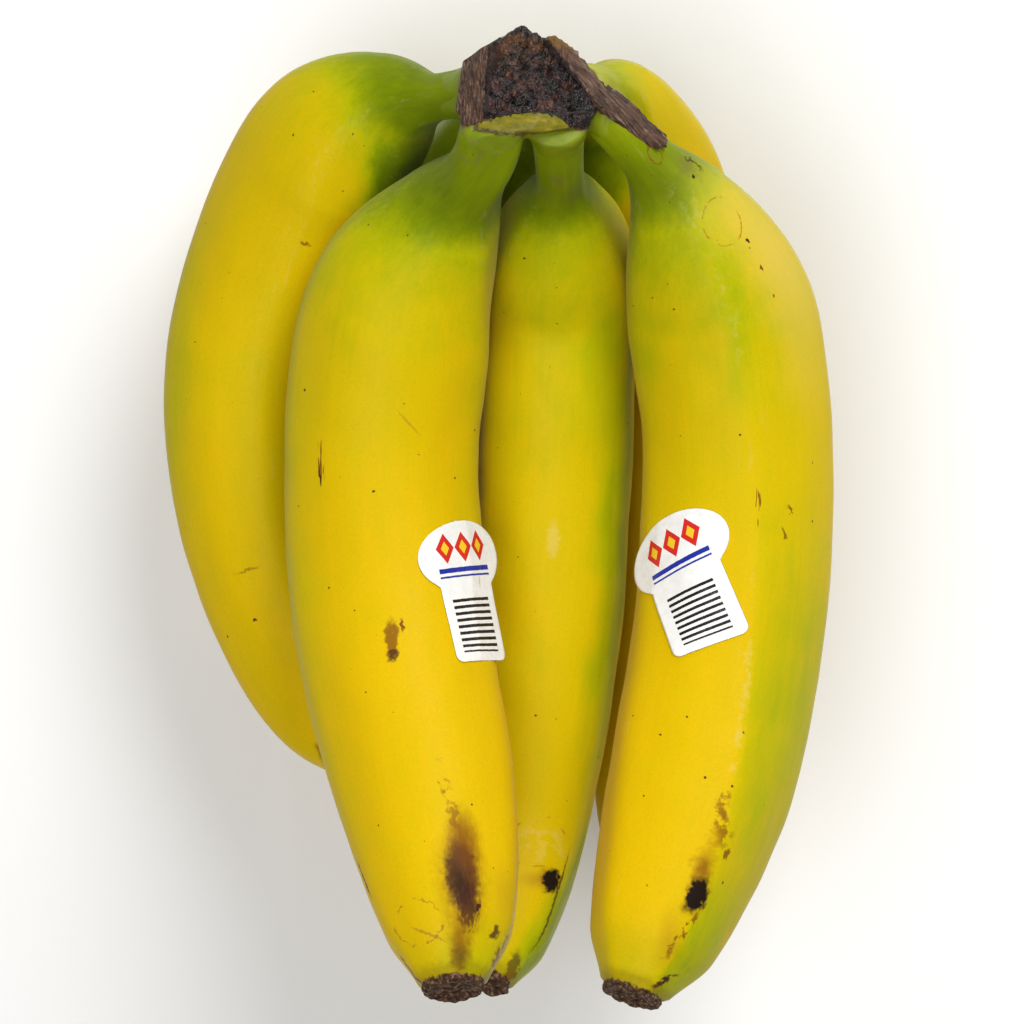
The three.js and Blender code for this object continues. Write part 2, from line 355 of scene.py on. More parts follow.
frontRight = {
    "node": "banana_front_right",
    "neck": 5.2, "belly": 19.5, "end": 6.1, "flare": 0.1,
    "trims": [{"facing": (0.568, 0.664, 0.486), "level": 77.7, "until": 22}],
    "neckLength": 13, "shoulder": 54, "taper": 68,
    "ridges": (-8, 62, 132, 207, 277), "twist": 33,
    "line": [
        (16.5, 82, 24.5), (24, 74, 22.5), (33.6, 62.7, 10), (41.9, 43.5, -2), (45.9, 21, -6),
        (46, -3.5, -6), (42.5, -34.5, -2), (35.8, -62.5, 7), (28.6, -84, 16), (23.8, -96.8, 21),
    ],
    "greens": [
        (0, 0.70), (12, 0.78), (20, 0.86), (26, 0.66), (31, 0.50), (37, 0.42), (46, 0.34), (70, 0.22),
        (110, 0.14), (150, 0.03), (186, 0.04), (196, 0.2), (203, 0.4),
    ],
    "slant": 0.0,
    "facets": [    # greener between two ridges: degrees where it starts and ends, mm along where it starts
        {"rise": (-13, -4), "fall": (169, 141), "from": (75, 150), "strength": 0.25},
    ],
    "greenAndShadePatches": [
        {"at": (48, 38), "size": (13, 26), "strength": -0.22},
        {"at": (4, 56), "size": (3.5, 42), "strength": 0.08},
        {"at": (52, 143), "size": (18, 62), "strength": 0.16},
        {"at": (50, 190), "size": (10, 16), "soft": 0.7, "strength": 0.14},
        {"at": (-75, 70), "size": (10, 60), "strength": 0.15},
        {"at": (180, 60), "size": (22, 70), "strength": 0.2},
    ],
    "marks": [
        # painted highlight: a pale sheen laid over the shoulder where the light grazes it
        {"at": (56, 46), "size": (14, 40), "ink": "pale", "edge": "loose", "soft": 1.0, "strength": 0.35},
        {"at": (26, 33), "size": (4.4, 4.8), "ring": 0.06, "ink": "tan", "edge": "fine", "patchy": 0.46},
        {"at": (43, 21.5), "size": (3.4, 4.6), "ink": "olive", "soft": 0.9, "patchy": 0.46,
         "strength": 0.5},
        {"at": (11.5, 14), "size": (1.2, 1.8), "ring": 0.18, "ink": "rust", "edge": "fine", "patchy": 0.44,
         "strength": 0.8},
        {"at": (84, 5), "size": (6.5, 9), "ink": "bruise", "soft": 0.3},
        {"at": (36.5, 23), "size": (0.6, 0.6), "ink": "dark", "edge": "fine"},
        {"at": (36, 39), "size": (0.45, 0.6), "ink": "bruise", "edge": "fine"},
        {"at": (34, 45), "size": (0.4, 0.9), "ink": "rust", "edge": "fine"},
        {"at": (34.5, 52), "size": (0.4, 0.5), "ink": "rust", "edge": "fine"},
        {"at": (58.5, 22), "size": (0.45, 3), "ink": "bruise", "strength": 0.8},
        {"at": (10, 98), "size": (0.5, 1.6), "ink": "rust", "edge": "streaked", "strength": 0.9},
        {"at": (10.5, 103), "size": (0.5, 1.8), "ink": "rust", "edge": "streaked", "strength": 0.9},
        {"at": (28, 104), "size": (0.6, 1.6), "lean": 25, "ink": "rust", "strength": 0.9},
        {"at": (31.5, 99), "size": (0.5, 1.4), "lean": 25, "ink": "rust", "strength": 0.9},
        {"at": (13, 143), "size": (1.0, 26), "lean": 2, "ink": "pale", "patchy": 0.48, "strength": 0.25},
        {"at": (2, 52), "size": (0.6, 20), "lean": 3, "ink": "pale", "patchy": 0.48, "strength": 0.12},
        {"at": (8, 24), "size": (3.5, 8), "ink": "pale", "patchy": 0.52, "strength": 0.15},
        {"at": (15, 165), "size": (1.6, 6), "ink": "rust", "patchy": 0.46, "strength": 0.75},
        {"at": (20, 170), "size": (3.4, 7), "ink": "rust", "soft": 1.0, "patchy": 0.42, "strength": 0.8},
        {"at": (27.5, 174), "size": (1.0, 1.6), "ink": "rust", "strength": 0.9},
        {"at": (15, 178.5), "size": (3.2, 6), "ink": "rust", "soft": 1.0, "strength": 0.85},
        {"at": (18.5, 183.5), "size": (3.2, 5.6), "lean": -6, "ink": "rust", "soft": 0.8, "strength": 0.8},
        {"at": (18.5, 183.5), "size": (2.5, 4.4), "lean": -6, "ink": "dark", "soft": 0.4},
        {"at": (21, 191), "size": (0.8, 7), "lean": -12, "ink": "rust", "patchy": 0.42, "strength": 0.9},
        {"at": (10, 192), "size": (4.5, 9), "ink": "rust", "edge": "loose", "soft": 1.0, "strength": 0.3},
        {"at": (36, 199), "size": (0.9, 5), "lean": -28, "ink": "bruise", "patchy": 0.46},
        {"at": (-34, 153), "size": (0.3, 0.4), "ink": "bruise", "edge": "fine"},
        {"at": (-54, 44), "size": (0.3, 0.3), "ink": "bruise", "edge": "fine"},
    ],
    "seed": 23,
}
backLeft = {
    "node": "banana_back_left",
    "neck": 4.6, "belly": 18.8, "end": 5.0, "flare": 0.2,
    "neckLength": 8, "shoulder": 46, "taper": 100,
    "ridges": (-70, 10, 75, 140, 215), "twist": 0,
    "line": [
        (-7.5, 84.5, 14), (-14.5, 84.2, 8), (-25.5, 83.6, -5), (-38, 75, -18), (-51.6, 47.5, -31),
        (-55.8, 17.5, -35), (-51.8, -10.5, -34), (-44, -33.5, -29), (-37.2, -45.5, -23),
        (-32.5, -52.5, -17),
    ],
    "greens": [
        (0, 0.86), (8, 0.90), (13, 0.98), (18, 0.92), (22, 0.66), (27, 0.44), (32, 0.32), (40, 0.2),
        (60, 0.15), (120, 0.13), (160, 0.08), (180, 0.1), (188, 0.2),
    ],
    "slant": 0.55,
    "greenAndShadePatches": [
        {"at": (-62, 98), "size": (12, 50), "strength": 0.22},
        # painted shade: these four patches make the flank towards front_left greener and darker, beside its
        # shoulder and along the inner edge
        {"at": (66, 30), "size": (8, 14), "strength": 0.3},
        {"at": (96, 36), "size": (18, 24), "soft": 0.7, "strength": 0.75},
        {"at": (50, 44), "size": (9, 14), "strength": 0.22},
        {"at": (12, 110), "size": (9, 80), "strength": 0.14},
    ],
    "marks": [
        {"at": (18, 60), "size": (1.8, 0.6), "lean": -8, "ink": "rust", "strength": 0.8},
        {"at": (-15, 142), "size": (4.0, 0.35), "lean": -5, "ink": "rust", "strength": 0.6},
        {"at": (-21.5, 153), "size": (0.6, 0.4), "ink": "bruise", "edge": "fine"},
        {"at": (-30, 186), "size": (4, 3), "ink": "rust", "strength": 0.7},
    ],
    "seed": 31,
}
backMiddle = {
    "node": "banana_back_middle",
    "neck": 4.6, "belly": 18.0, "end": 5.0, "flare": 0.2,
    "neckLength": 16, "shoulder": 54, "taper": 85,
    "ridges": (-70, 10, 75, 140, 215), "twist": 0,
    "line": [
        (3.5, 85.5, 10), (1.5, 84, -7), (-3, 79, -26), (-8.5, 61, -45), (-12, 35.5, -55),
        (-13.5, 9, -59), (-14, -19.5, -58), (-13.5, -45.5, -54), (-12, -67, -47), (-11, -79, -40),
    ],
    # partly the neck's own green and partly painted shade: the greens stay high far down the shoulder to
    # darken it in the gap between the front necks
    "greens": [
        (0, 0.88), (14, 0.96), (34, 0.94), (44, 0.7), (56, 0.38), (72, 0.18), (110, 0.08), (180, 0.04),
        (210, 0.28),
    ],
    "slant": 0.2,
    "greenAndShadePatches": [
        {"at": (-80, 100), "size": (14, 80), "strength": 0.22},
        {"at": (120, 60), "size": (14, 50), "strength": 0.2},
    ],
    "marks": [
        {"at": (-35, 110), "size": (0.8, 2.4), "ink": "rust", "strength": 0.8},
        {"at": (150, 140), "size": (2.0, 5.0), "ink": "rust", "edge": "streaked", "strength": 0.7},
        {"at": (190, 90), "size": (1.0, 3.0), "ink": "bruise", "edge": "streaked", "strength": 0.8},
    ],
    "seed": 43,
}
backRight = {
    "node": "banana_back_right",
    "neck": 4.6, "belly": 18.0, "end": 5.0, "flare": 0.2,
    "neckLength": 17, "shoulder": 54, "taper": 85,
    "ridges": (-70, 10, 75, 140, 215), "twist": 0,
    "line": [
        (12.5, 85, 14.5), (16.4, 87, 0), (22.2, 85.6, -18), (27.6, 69.4, -40), (34.8, 39, -51),
        (36.5, 9, -55), (35, -19.5, -54), (32.5, -47.5, -49), (30, -68.5, -42), (29, -81, -35),
    ],
    "greens": [
        (0, 0.6), (13, 0.58), (20, 0.54), (26, 0.36), (32, 0.14), (45, 0.06), (120, 0.04), (190, 0.05),
        (215, 0.28),
    ],
    "slant": -0.2,
    "greenAndShadePatches": [
        {"at": (-80, 80), "size": (14, 90), "strength": 0.3},
        # painted shade: darkens the peel where it shows in the gap between the necks
        {"at": (-44, 43), "size": (12, 18), "soft": 0.6, "strength": 0.6},
        {"at": (150, 60), "size": (14, 60), "strength": 0.25},
    ],
    "marks": [
        {"at": (117, 27), "size": (0.4, 4), "ink": "bruise", "strength": 0.5},
        {"at": (92, 42), "size": (0.4, 0.6), "ink": "rust", "edge": "fine"},
        {"at": (60, 120), "size": (1.0, 3.2), "ink": "rust", "edge": "streaked", "strength": 0.8},
        {"at": (170, 150), "size": (2.2, 6.0), "ink": "rust", "edge": "streaked", "strength": 0.7},
    ],
    "seed": 57,
}

peelMesh = {
    "around": 96,          # quads round a banana
    "step": 0.95,          # mm between its rings
    "nub": 12,             # mm of the last narrowing before the blossom end
    "ridgeRise": 0.055,    # share of the radius
    "ridgeWidth": 15,      # degrees
    "ridgeLine": 7,        # degrees from its middle that a ridge is rubbed
    "flareFade": 3.5,      # mm that the widening at the crown takes to fade
    "unevenness": 0.35,    # mm, slow swellings and hollows
    "swellings": ((26, 2.0), (9, 0.5)),      # their sizes in mm, and how much of each
    "endCrumple": 0.45,    # mm, on the dried blossom end
    "crumples": ((1.6, 1.0), (0.7, 0.6)),    # their sizes in mm, and how much of each
    "juts": 1.3,           # mm, the size of those along the banana
    "endDepth": (1.4, 0.6),    # mm before the end where the crumples start and are full
    "trimFade": 8,         # mm along the neck that a trim takes to fade
    "seedStep": 17.0,      # mm between the bananas' places in the noise
}
knifeEdge = 0.4            # mm that the edge of a cut is rounded, unless the cut says otherwise
# The dried blossom end, from the last of the peel over its rim to the hollow in the middle:
# mm past the end of the middle line, share of the end's radius
blossomRim = [
    (-1.4, 0.98), (-0.9, 0.99), (-0.5, 1.0), (-0.1, 0.99), (0.2, 0.95), (0.4, 0.88), (0.4, 0.8),
    (0.2, 0.71), (-0.15, 0.62), (-0.5, 0.52), (-0.7, 0.42), (-0.6, 0.32), (-0.2, 0.22), (0.1, 0.12),
    (0.15, 0.0),
]


def splinePoint(points, share):
    # centripetal Catmull-Rom through the points
    last = len(points) - 1
    place = share * last
    i = min(int(place), last - 1)
    w = place - i
    p1, p2 = points[i], points[i + 1]
    p0 = points[i - 1] if i else 2 * p1 - p2
    p3 = points[i + 2] if i + 2 <= last else 2 * p2 - p1
    d0, d1, d2 = ((b - a).length ** 0.5 for a, b in ((p0, p1), (p1, p2), (p2, p3)))
    leave = ((p1 - p0) / d0 - (p2 - p0) / (d0 + d1) + (p2 - p1) / d1) * d1
    arrive = ((p2 - p1) / d1 - (p3 - p1) / (d1 + d2) + (p3 - p2) / d2) * d1
    bend = (p2 - p1) * 3 - leave * 2 - arrive
    twist = (p1 - p2) * 2 + leave + arrive
    return p1 + leave * w + bend * w ** 2 + twist * w ** 3


def middleLine(spec, samples=800):
    # places on the middle line, and how far along it each one is
    points = [Vector(point) for point in spec["line"]]
    places = [splinePoint(points, i / samples) for i in range(samples + 1)]
    reach = [0.0]
    for a, b in zip(places, places[1:]):
        reach.append(reach[-1] + (b - a).length)
    return {"places": places, "reach": reach, "length": reach[-1]}


def frameAt(line, distance):
    # the place at a distance along the line, with the directions along, up and to the right of it
    places, reach = line["places"], line["reach"]
    inside = clamp(distance, 0, line["length"])
    low, high = 0, len(reach) - 1
    while high - low > 1:
        middle = (low + high) // 2
        if reach[middle] <= inside:
            low = middle
        else:
            high = middle
    w = (inside - reach[low]) / (reach[high] - reach[low])
    before = places[max(low - 1, 0)]
    after = places[min(high + 1, len(places) - 1)]
    along = (after - before).normalized()
    up = (Vector((0, 0, 1)) - along * along.z).normalized()
    place = places[low].lerp(places[high], w) + along * (distance - inside)
    return place, along, up, up.cross(along)


def plainRadius(spec, distance):
    # the banana's radius without its ridges
    length = spec["length"]
    grown = clamp((distance - spec["neckLength"]) / spec["shoulder"])
    shoulder = 1 - (1 - grown) ** 3 * (1 + 3 * grown)
    back = clamp((length - distance) / spec["taper"])
    tip = (1 - (1 - back) ** 2) ** 0.6
    swelling = shoulder * tip * smooth(-peelMesh["nub"] / 2, peelMesh["nub"], length - distance)
    plain = lerp(spec["neck"], spec["end"], clamp(distance / length))
    return plain + (spec["belly"] - plain) * swelling


def flaredRadius(spec, distance):
    # the same, widened where the neck meets the crown
    return plainRadius(spec, distance) * (1 + spec["flare"] * math.exp(-distance / peelMesh["flareFade"]))


def ridgesApart(spec, distance, angle):
    # degrees from each ridge
    turned = spec["twist"] * clamp(distance / spec["length"])
    return [(angle - ridge - turned + 180) % 360 - 180 for ridge in spec["ridges"]]


def ridgeShape(spec, distance, angle):
    factor = 1 - peelMesh["ridgeRise"] / 3
    for apart in ridgesApart(spec, distance, angle):
        factor += peelMesh["ridgeRise"] * bell(apart, 0, peelMesh["ridgeWidth"])
    return factor


def ridgeHere(spec, distance, angle):
    # 1 on a ridge, falling off within a few degrees
    return bell(min(map(abs, ridgesApart(spec, distance, angle))), 0, peelMesh["ridgeLine"])


def bananaRows(spec):
    # (distance along, radius) of every ring; one inside the neck's end and points close both ends
    length = spec["length"]
    rows = [(0.0, 0.0), (0.0, spec["neck"] * 0.6)]
    peelEnd = length + blossomRim[0][0]
    steps = round(peelEnd / peelMesh["step"])
    for i in range(steps):
        rows.append((peelEnd * i / steps, flaredRadius(spec, peelEnd * i / steps)))
    for (beyond, share), (nextBeyond, nextShare) in zip(blossomRim, blossomRim[1:]):
        rows.append((length + beyond, spec["end"] * share))
        rows.append((length + (beyond + nextBeyond) / 2, spec["end"] * (share + nextShare) / 2))
    rows.append((length + blossomRim[-1][0], 0.0))
    return rows


def mixedNoise(spot, parts):
    return sum(amount * noise.noise(spot / size) for size, amount in parts)


def unevenness(spec, spot, radius):
    # slow swellings and hollows of the peel, in mm
    away = Vector((spec["seed"] * peelMesh["seedStep"], 0, 0))
    rise = mixedNoise(spot + away, peelMesh["swellings"])
    return rise * peelMesh["unevenness"] * clamp(radius / spec["belly"])


def endCrumple(spec, spot, radius, distance):
    # mm that the dried blossom end is pushed outwards and along
    start, full = (spec["length"] - depth for depth in peelMesh["endDepth"])
    amount = peelMesh["endCrumple"] * smooth(start, full, distance)
    if not amount:
        return 0.0, 0.0
    away = Vector((spec["seed"] * peelMesh["seedStep"], 0, 0))
    outward = mixedNoise(spot + away, peelMesh["crumples"]) * clamp(radius / spec["end"])
    return outward * amount, noise.noise((spot - away) / peelMesh["juts"]) * amount


def past(cut, point):
    # mm that a point stands past a flat cut, with the cut's edge rounded
    over = point.dot(Vector(cut["facing"])) - cut["level"]
    edge = cut.get("edge", knifeEdge)
    return max(over, 0.0) if abs(over) > edge else (over + edge) ** 2 / (4 * edge)


def trimmed(spec, distance, point):
    # a neck is flat where the knife went past it
    for cut in spec.get("trims", []):
        fade = 1 - smooth(cut["until"] - peelMesh["trimFade"], cut["until"], distance)
        point = point - Vector(cut["facing"]) * past(cut, point) * fade
    return point


def straightSpot(radius, angle, distance):
    # a point of the banana as if it were straight, which is what its finish reads
    turn = math.radians(angle)
    return Vector((math.sin(turn) * radius, math.cos(turn) * radius, distance))


def peelPoint(spec, radius, angle, distance):
    # a point of the bent, ridged and uneven banana
    spot = straightSpot(radius, angle, distance)
    out = radius * ridgeShape(spec, distance, angle)
    outward, jut = endCrumple(spec, spot, radius, distance)
    if radius > 0:
        out += unevenness(spec, spot, radius) + outward
    place, along, up, right = frameAt(spec["middle"], distance + jut)
    turn = math.radians(angle)
    return trimmed(spec, distance, place + (up * math.cos(turn) + right * math.sin(turn)) * out)


def growBanana(spec):
    spec["middle"] = middleLine(spec)
    spec["length"] = spec["middle"]["length"]
    rows = bananaRows(spec)
    rings, columns = len(rows) - 1, peelMesh["around"]
    shift = spec["seed"] * 100    # so that no two bananas have the same dots
    peel = bmesh.new()
    straight = peel.verts.layers.float_vector.new("straight")
    ridge = peel.verts.layers.float.new("ridge")
    unrolled = peel.loops.layers.uv.new("unrolled")
    bmesh.ops.create_grid(peel, x_segments=columns, y_segments=rings, size=0.5)
    for face in peel.faces:
        for loop in face.loops:
            flat = loop.vert.co
            distance = rows[round((flat.y + 0.5) * rings)][0]
            loop[unrolled].uv = (flat.x * math.tau * spec["belly"], distance + shift)
    for vert in peel.verts:
        column = round((vert.co.x + 0.5) * columns) % columns
        distance, radius = rows[round((vert.co.y + 0.5) * rings)]
        angle = 360 * column / columns - 180
        vert[straight] = straightSpot(radius, angle, distance)
        vert[ridge] = ridgeHere(spec, distance, angle)
        vert.co = toPart @ peelPoint(spec, radius, angle, distance)
    bmesh.ops.remove_doubles(peel, verts=peel.verts, dist=0.02 * mm)
    bmesh.ops.recalc_face_normals(peel, faces=peel.faces)
    banana = newObject(spec["node"] + "_peel", peel)
    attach(banana, "root")
    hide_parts(spec["node"])
    return banana


# The peel's finish reads the straightened peel, in mm, so its colours run along the finger.
ripeColours = [
    # greenness, colour
    (0.0, (0.67, 0.435, 0.001)),
    (0.28, (0.56, 0.425, 0.001)),
    (0.52, (0.38, 0.385, 0.001)),
    (0.76, (0.20, 0.26, 0.001)),
    (1.0, (0.125, 0.175, 0.001)),
]
inks = {
    "dark": (0.014, 0.008, 0.006),
    "bruise": (0.060, 0.020, 0.010),
    "rust": (0.20, 0.065, 0.005),
    "tan": (0.38, 0.19, 0.012),
    "olive": (0.17, 0.14, 0.035),
    "pale": (0.64, 0.52, 0.16),
    "white": (0.55, 0.54, 0.33),
}
peelLook = {
    "edges": {               # how a mark's edge is shaken: size of the noise, reach in mm, detail
        "loose": (20, 4.5, 1.0),
        "ragged": (1.5, 1.5, 2.0),
        "streaked": ((0.6, 0.6, 5), (1.6, 1.6, 4), 1.0),
        "fine": (0.7, 0.35, 1.0),
    },
    "unevenGreen": [         # size in mm, detail, how much
        ((3, 3, 9), 2.0, 0.05),
        ((1.1, 1.1, 60), 1.0, 0.035),
        (12, 1.0, 0.05),
    ],
    "patchDepth": 7,         # mm into the banana that a mark reaches, at least
    "patchSoft": 0.85,       # how much of a green patch is its soft edge
    "markSoft": 0.5,
    "tear": (3.0, 4.0, 0.08),    # of a patchy mark: size in mm, detail, softness
    "shade": (0.5, 2.0, 0.95, 1.05),     # size in mm, detail, darkest, lightest
    "rubbedNeck": (75, 15),  # mm along where the pale rubbing starts and is full
    "neckRub": {"size": (0.9, 0.9, 5), "from": 0.54, "to": 0.72, "strength": 0.12},
    "offRidge": 0.12,        # share of the neck's rubbing that is between the ridges
    "ridgeRub": {"size": (1.6, 1.6, 14), "from": 0.6, "to": 0.72, "strength": 0.15},
    "dotSpacing": 6.0,       # mm between the places where a dot may be
    "dotShare": 0.22,
    "dotSize": 0.26,         # mm, the largest dot's radius
    "dotEdge": (0.12, -0.06),    # mm from there where a dot ends and is full
    "stain": (4.5, 0.8, 0.45),   # mm before the end where it starts and is full, and its strength
    "dried": (1.5, 0.9),     # mm before the end where it starts and is full
    "driedEdge": (1.1, 1.5, 0.5),    # of its outline: size, detail, reach in mm
    "crust": (0.8, 5.0),     # size in mm, detail
    "crustColours": [
        (0.3, (0.014, 0.009, 0.007)), (0.5, (0.065, 0.032, 0.018)), (0.68, (0.24, 0.15, 0.095)),
    ],
    "roughness": 0.47,
    "roughnessSpread": 0.05,
    "driedRoughness": 0.3,   # more than the peel's
    "specular": 0.05,
    "bloom": 0.05,           # pale waxy sheen at grazing angles
    "bloomRoughness": 0.4,
    "relief": [              # size, detail, height in mm
        (0.45, 1.0, 0.03),               # pores
        ((0.8, 0.8, 30), 1.0, 0.05),     # fibres
    ],
    "crustRelief": (0.6, 2.0, 0.7),      # the same, on the dried end
    "reliefStrength": 0.6,
    "seedStep": 31.0,        # mm between the bananas' places in the noise
}


def placeMark(tree, coords, spec, mark):
    # how far a point is from the mark's middle, where 1 is its edge
    width, length = mark["size"]
    angle, along = mark["at"]
    sockets = {
        "Vector": coords,
        "Location": straightSpot(plainRadius(spec, along), angle, along),
        "Rotation": (0, math.radians(mark.get("lean", 0)), -math.radians(angle)),
        "Scale": (width, max(width, length, peelLook["patchDepth"]), length),
    }
    local = addNode(tree, "ShaderNodeMapping", sockets, vector_type="TEXTURE").outputs[0]
    return addNode(tree, "ShaderNodeVectorMath", {0: local}, operation="LENGTH").outputs["Value"]


def markMask(tree, coords, spec, mark):
    away = placeMark(tree, coords[mark.get("edge", "ragged")], spec, mark)
    strength = mark.get("strength", 1.0)
    if "ring" in mark:
        away = maths(tree, "ABSOLUTE", maths(tree, "SUBTRACT", away, 1.0))
        mask = ease(tree, away, mark["ring"], 0.0, strength)
    else:
        mask = ease(tree, away, 1.0, 1 - mark.get("soft", peelLook["markSoft"]), strength)
    if "patchy" in mark:
        size, detail, softness = peelLook["tear"]
        torn = grain(tree, coords["fine"], size, detail)
        mask = scaled(tree, mask, ease(tree, torn, mark["patchy"], mark["patchy"] + softness))
    return mask


def facetCover(tree, coords, spec, facet):
    # the part of the peel between two ridges, from one distance along the banana on
    x, y, z = split(tree, coords)
    angle = scaled(tree, maths(tree, "ARCTAN2", x, y), 180 / math.pi)
    angle = maths(tree, "SUBTRACT", angle, scaled(tree, z, spec["twist"] / spec["length"]))
    across = scaled(tree, ease(tree, angle, *facet["rise"]), ease(tree, angle, *facet["fall"]))
    return scaled(tree, across, ease(tree, z, *facet["from"], facet["strength"]))


def peelGreenAndShade(tree, straight, coords, spec):
    # how green the peel is: by the distance along, a little slanted, and in patches and facets; some
    # patches and greens are painted shade, greener and darker where a neighbour shades the peel
    x, _, z = split(tree, coords["loose"])
    slanted = maths(tree, "ADD", z, scaled(tree, x, spec["slant"]))
    stops = [(place / spec["length"], value) for place, value in spec["greens"]]
    green = gradient(tree, scaled(tree, slanted, 1 / spec["length"]), stops, "LINEAR")
    for patch in spec["greenAndShadePatches"]:
        away = placeMark(tree, coords["loose"], spec, patch)
        inner = 1 - patch.get("soft", peelLook["patchSoft"])
        green = maths(tree, "ADD", green, ease(tree, away, 1.0, inner, patch["strength"]))
    for facet in spec.get("facets", []):
        green = maths(tree, "ADD", green, facetCover(tree, coords["ragged"], spec, facet))
    for size, detail, amount in peelLook["unevenGreen"]:
        uneven = stretch(tree, grain(tree, straight, size, detail), -amount, amount)
        green = maths(tree, "ADD", green, uneven)
    return green


def peelFinish(spec):
    finish, tree, shader = newFinish("peel_" + spec["node"].removeprefix("banana_"))
    away = (spec["seed"] * peelLook["seedStep"], 0, 0)
    straight = vectorMaths(tree, "ADD", attribute(tree, "straight"), away)
    coords = {
        name: vectorMaths(tree, "SUBTRACT", shaken(tree, straight, *edge), away)
        for name, edge in peelLook["edges"].items()
    }
    colour = gradient(tree, peelGreenAndShade(tree, straight, coords, spec), ripeColours, "LINEAR")
    size, detail, darkest, lightest = peelLook["shade"]
    sockets = {0: colour, "Scale": stretch(tree, grain(tree, straight, size, detail), darkest, lightest)}
    colour = addNode(tree, "ShaderNodeVectorMath", sockets, operation="SCALE").outputs[0]
    colour = dots(tree, scuffs(tree, straight, colour))
    for mark in spec["marks"]:
        colour = blend(tree, markMask(tree, coords, spec, mark), colour, inks[mark["ink"]])
    colour, dried = driedEnd(tree, straight, spec["length"], colour)
    tree.links.new(colour, shader.inputs["Base Color"])
    middle, spread = peelLook["roughness"], peelLook["roughnessSpread"]
    dull = stretch(tree, grain(tree, straight, 4, 1.0), middle - spread, middle + spread)
    dull = maths(tree, "ADD", dull, scaled(tree, dried, peelLook["driedRoughness"]))
    tree.links.new(dull, shader.inputs["Roughness"])
    shader.inputs["Specular IOR Level"].default_value = peelLook["specular"]
    shader.inputs["Sheen Weight"].default_value = peelLook["bloom"]
    shader.inputs["Sheen Roughness"].default_value = peelLook["bloomRoughness"]
    tree.links.new(peelRelief(tree, straight, spec["length"]), shader.inputs["Normal"])
    return finish


def scuffs(tree, straight, colour):
    # pale rubbed streaks, on the neck and shoulder and along the ridges
    ridge = attribute(tree, "ridge", "Fac")
    neck, worn = peelLook["neckRub"], peelLook["ridgeRub"]
    rubbed = lightGrain(tree, straight, neck, 2.0)
    there = ease(tree, split(tree, straight)[2], *peelLook["rubbedNeck"])
    cover = scaled(tree, rubbed, scaled(tree, there, maths(tree, "ADD", ridge, peelLook["offRidge"])))
    colour = blend(tree, cover, colour, inks["white"])
    cover = scaled(tree, lightGrain(tree, straight, worn, 2.0), ridge)
    return blend(tree, cover, colour, inks["pale"])


def dots(tree, colour):
    # scattered brown dots, of their own sizes
    unrolled = addNode(tree, "ShaderNodeUVMap", uv_map="unrolled").outputs[0]
    sockets = {"Vector": unrolled, "Scale": 1 / peelLook["dotSpacing"], "Randomness": 1.0}
    cells = addNode(tree, "ShaderNodeTexVoronoi", sockets, voronoi_dimensions="2D", feature="F1").outputs
    luck = addNode(tree, "ShaderNodeSeparateColor", {0: cells["Color"]}).outputs
    away = scaled(tree, cells["Distance"], peelLook["dotSpacing"])
    size = scaled(tree, maths(tree, "POWER", luck[0], 3.0), peelLook["dotSize"])
    inside = ease(tree, maths(tree, "SUBTRACT", away, size), *peelLook["dotEdge"])
    chosen = maths(tree, "LESS_THAN", luck[1], peelLook["dotShare"])
    return blend(tree, scaled(tree, inside, chosen), colour, inks["bruise"])


def driedEnd(tree, straight, length, colour):
    size, detail, reach = peelLook["driedEdge"]
    wobble = stretch(tree, grain(tree, straight, size, detail), -reach, reach)
    along = maths(tree, "ADD", split(tree, straight)[2], wobble)
    start, full, strength = peelLook["stain"]
    stain = ease(tree, along, length - start, length - full, strength)
    colour = blend(tree, stain, colour, inks["rust"])
    dried = ease(tree, along, *(length - depth for depth in peelLook["dried"]))
    crust = gradient(tree, grain(tree, straight, *peelLook["crust"]), peelLook["crustColours"])
    return blend(tree, dried, colour, crust), dried


def peelRelief(tree, straight, length):
    # pores and fibres all over, and the crumpled crust of the dried end
    size, detail, height = peelLook["crustRelief"]
    dried = ease(tree, split(tree, straight)[2], *(length - depth for depth in peelLook["dried"]), height)
    relief = scaled(tree, grain(tree, straight, size, detail), dried)
    for size, detail, height in peelLook["relief"]:
        relief = maths(tree, "ADD", relief, scaled(tree, grain(tree, straight, size, detail), height))
    sockets = {"Height": relief, "Strength": peelLook["reliefStrength"], "Distance": mm}
    return addNode(tree, "ShaderNodeBump", sockets).outputs[0]


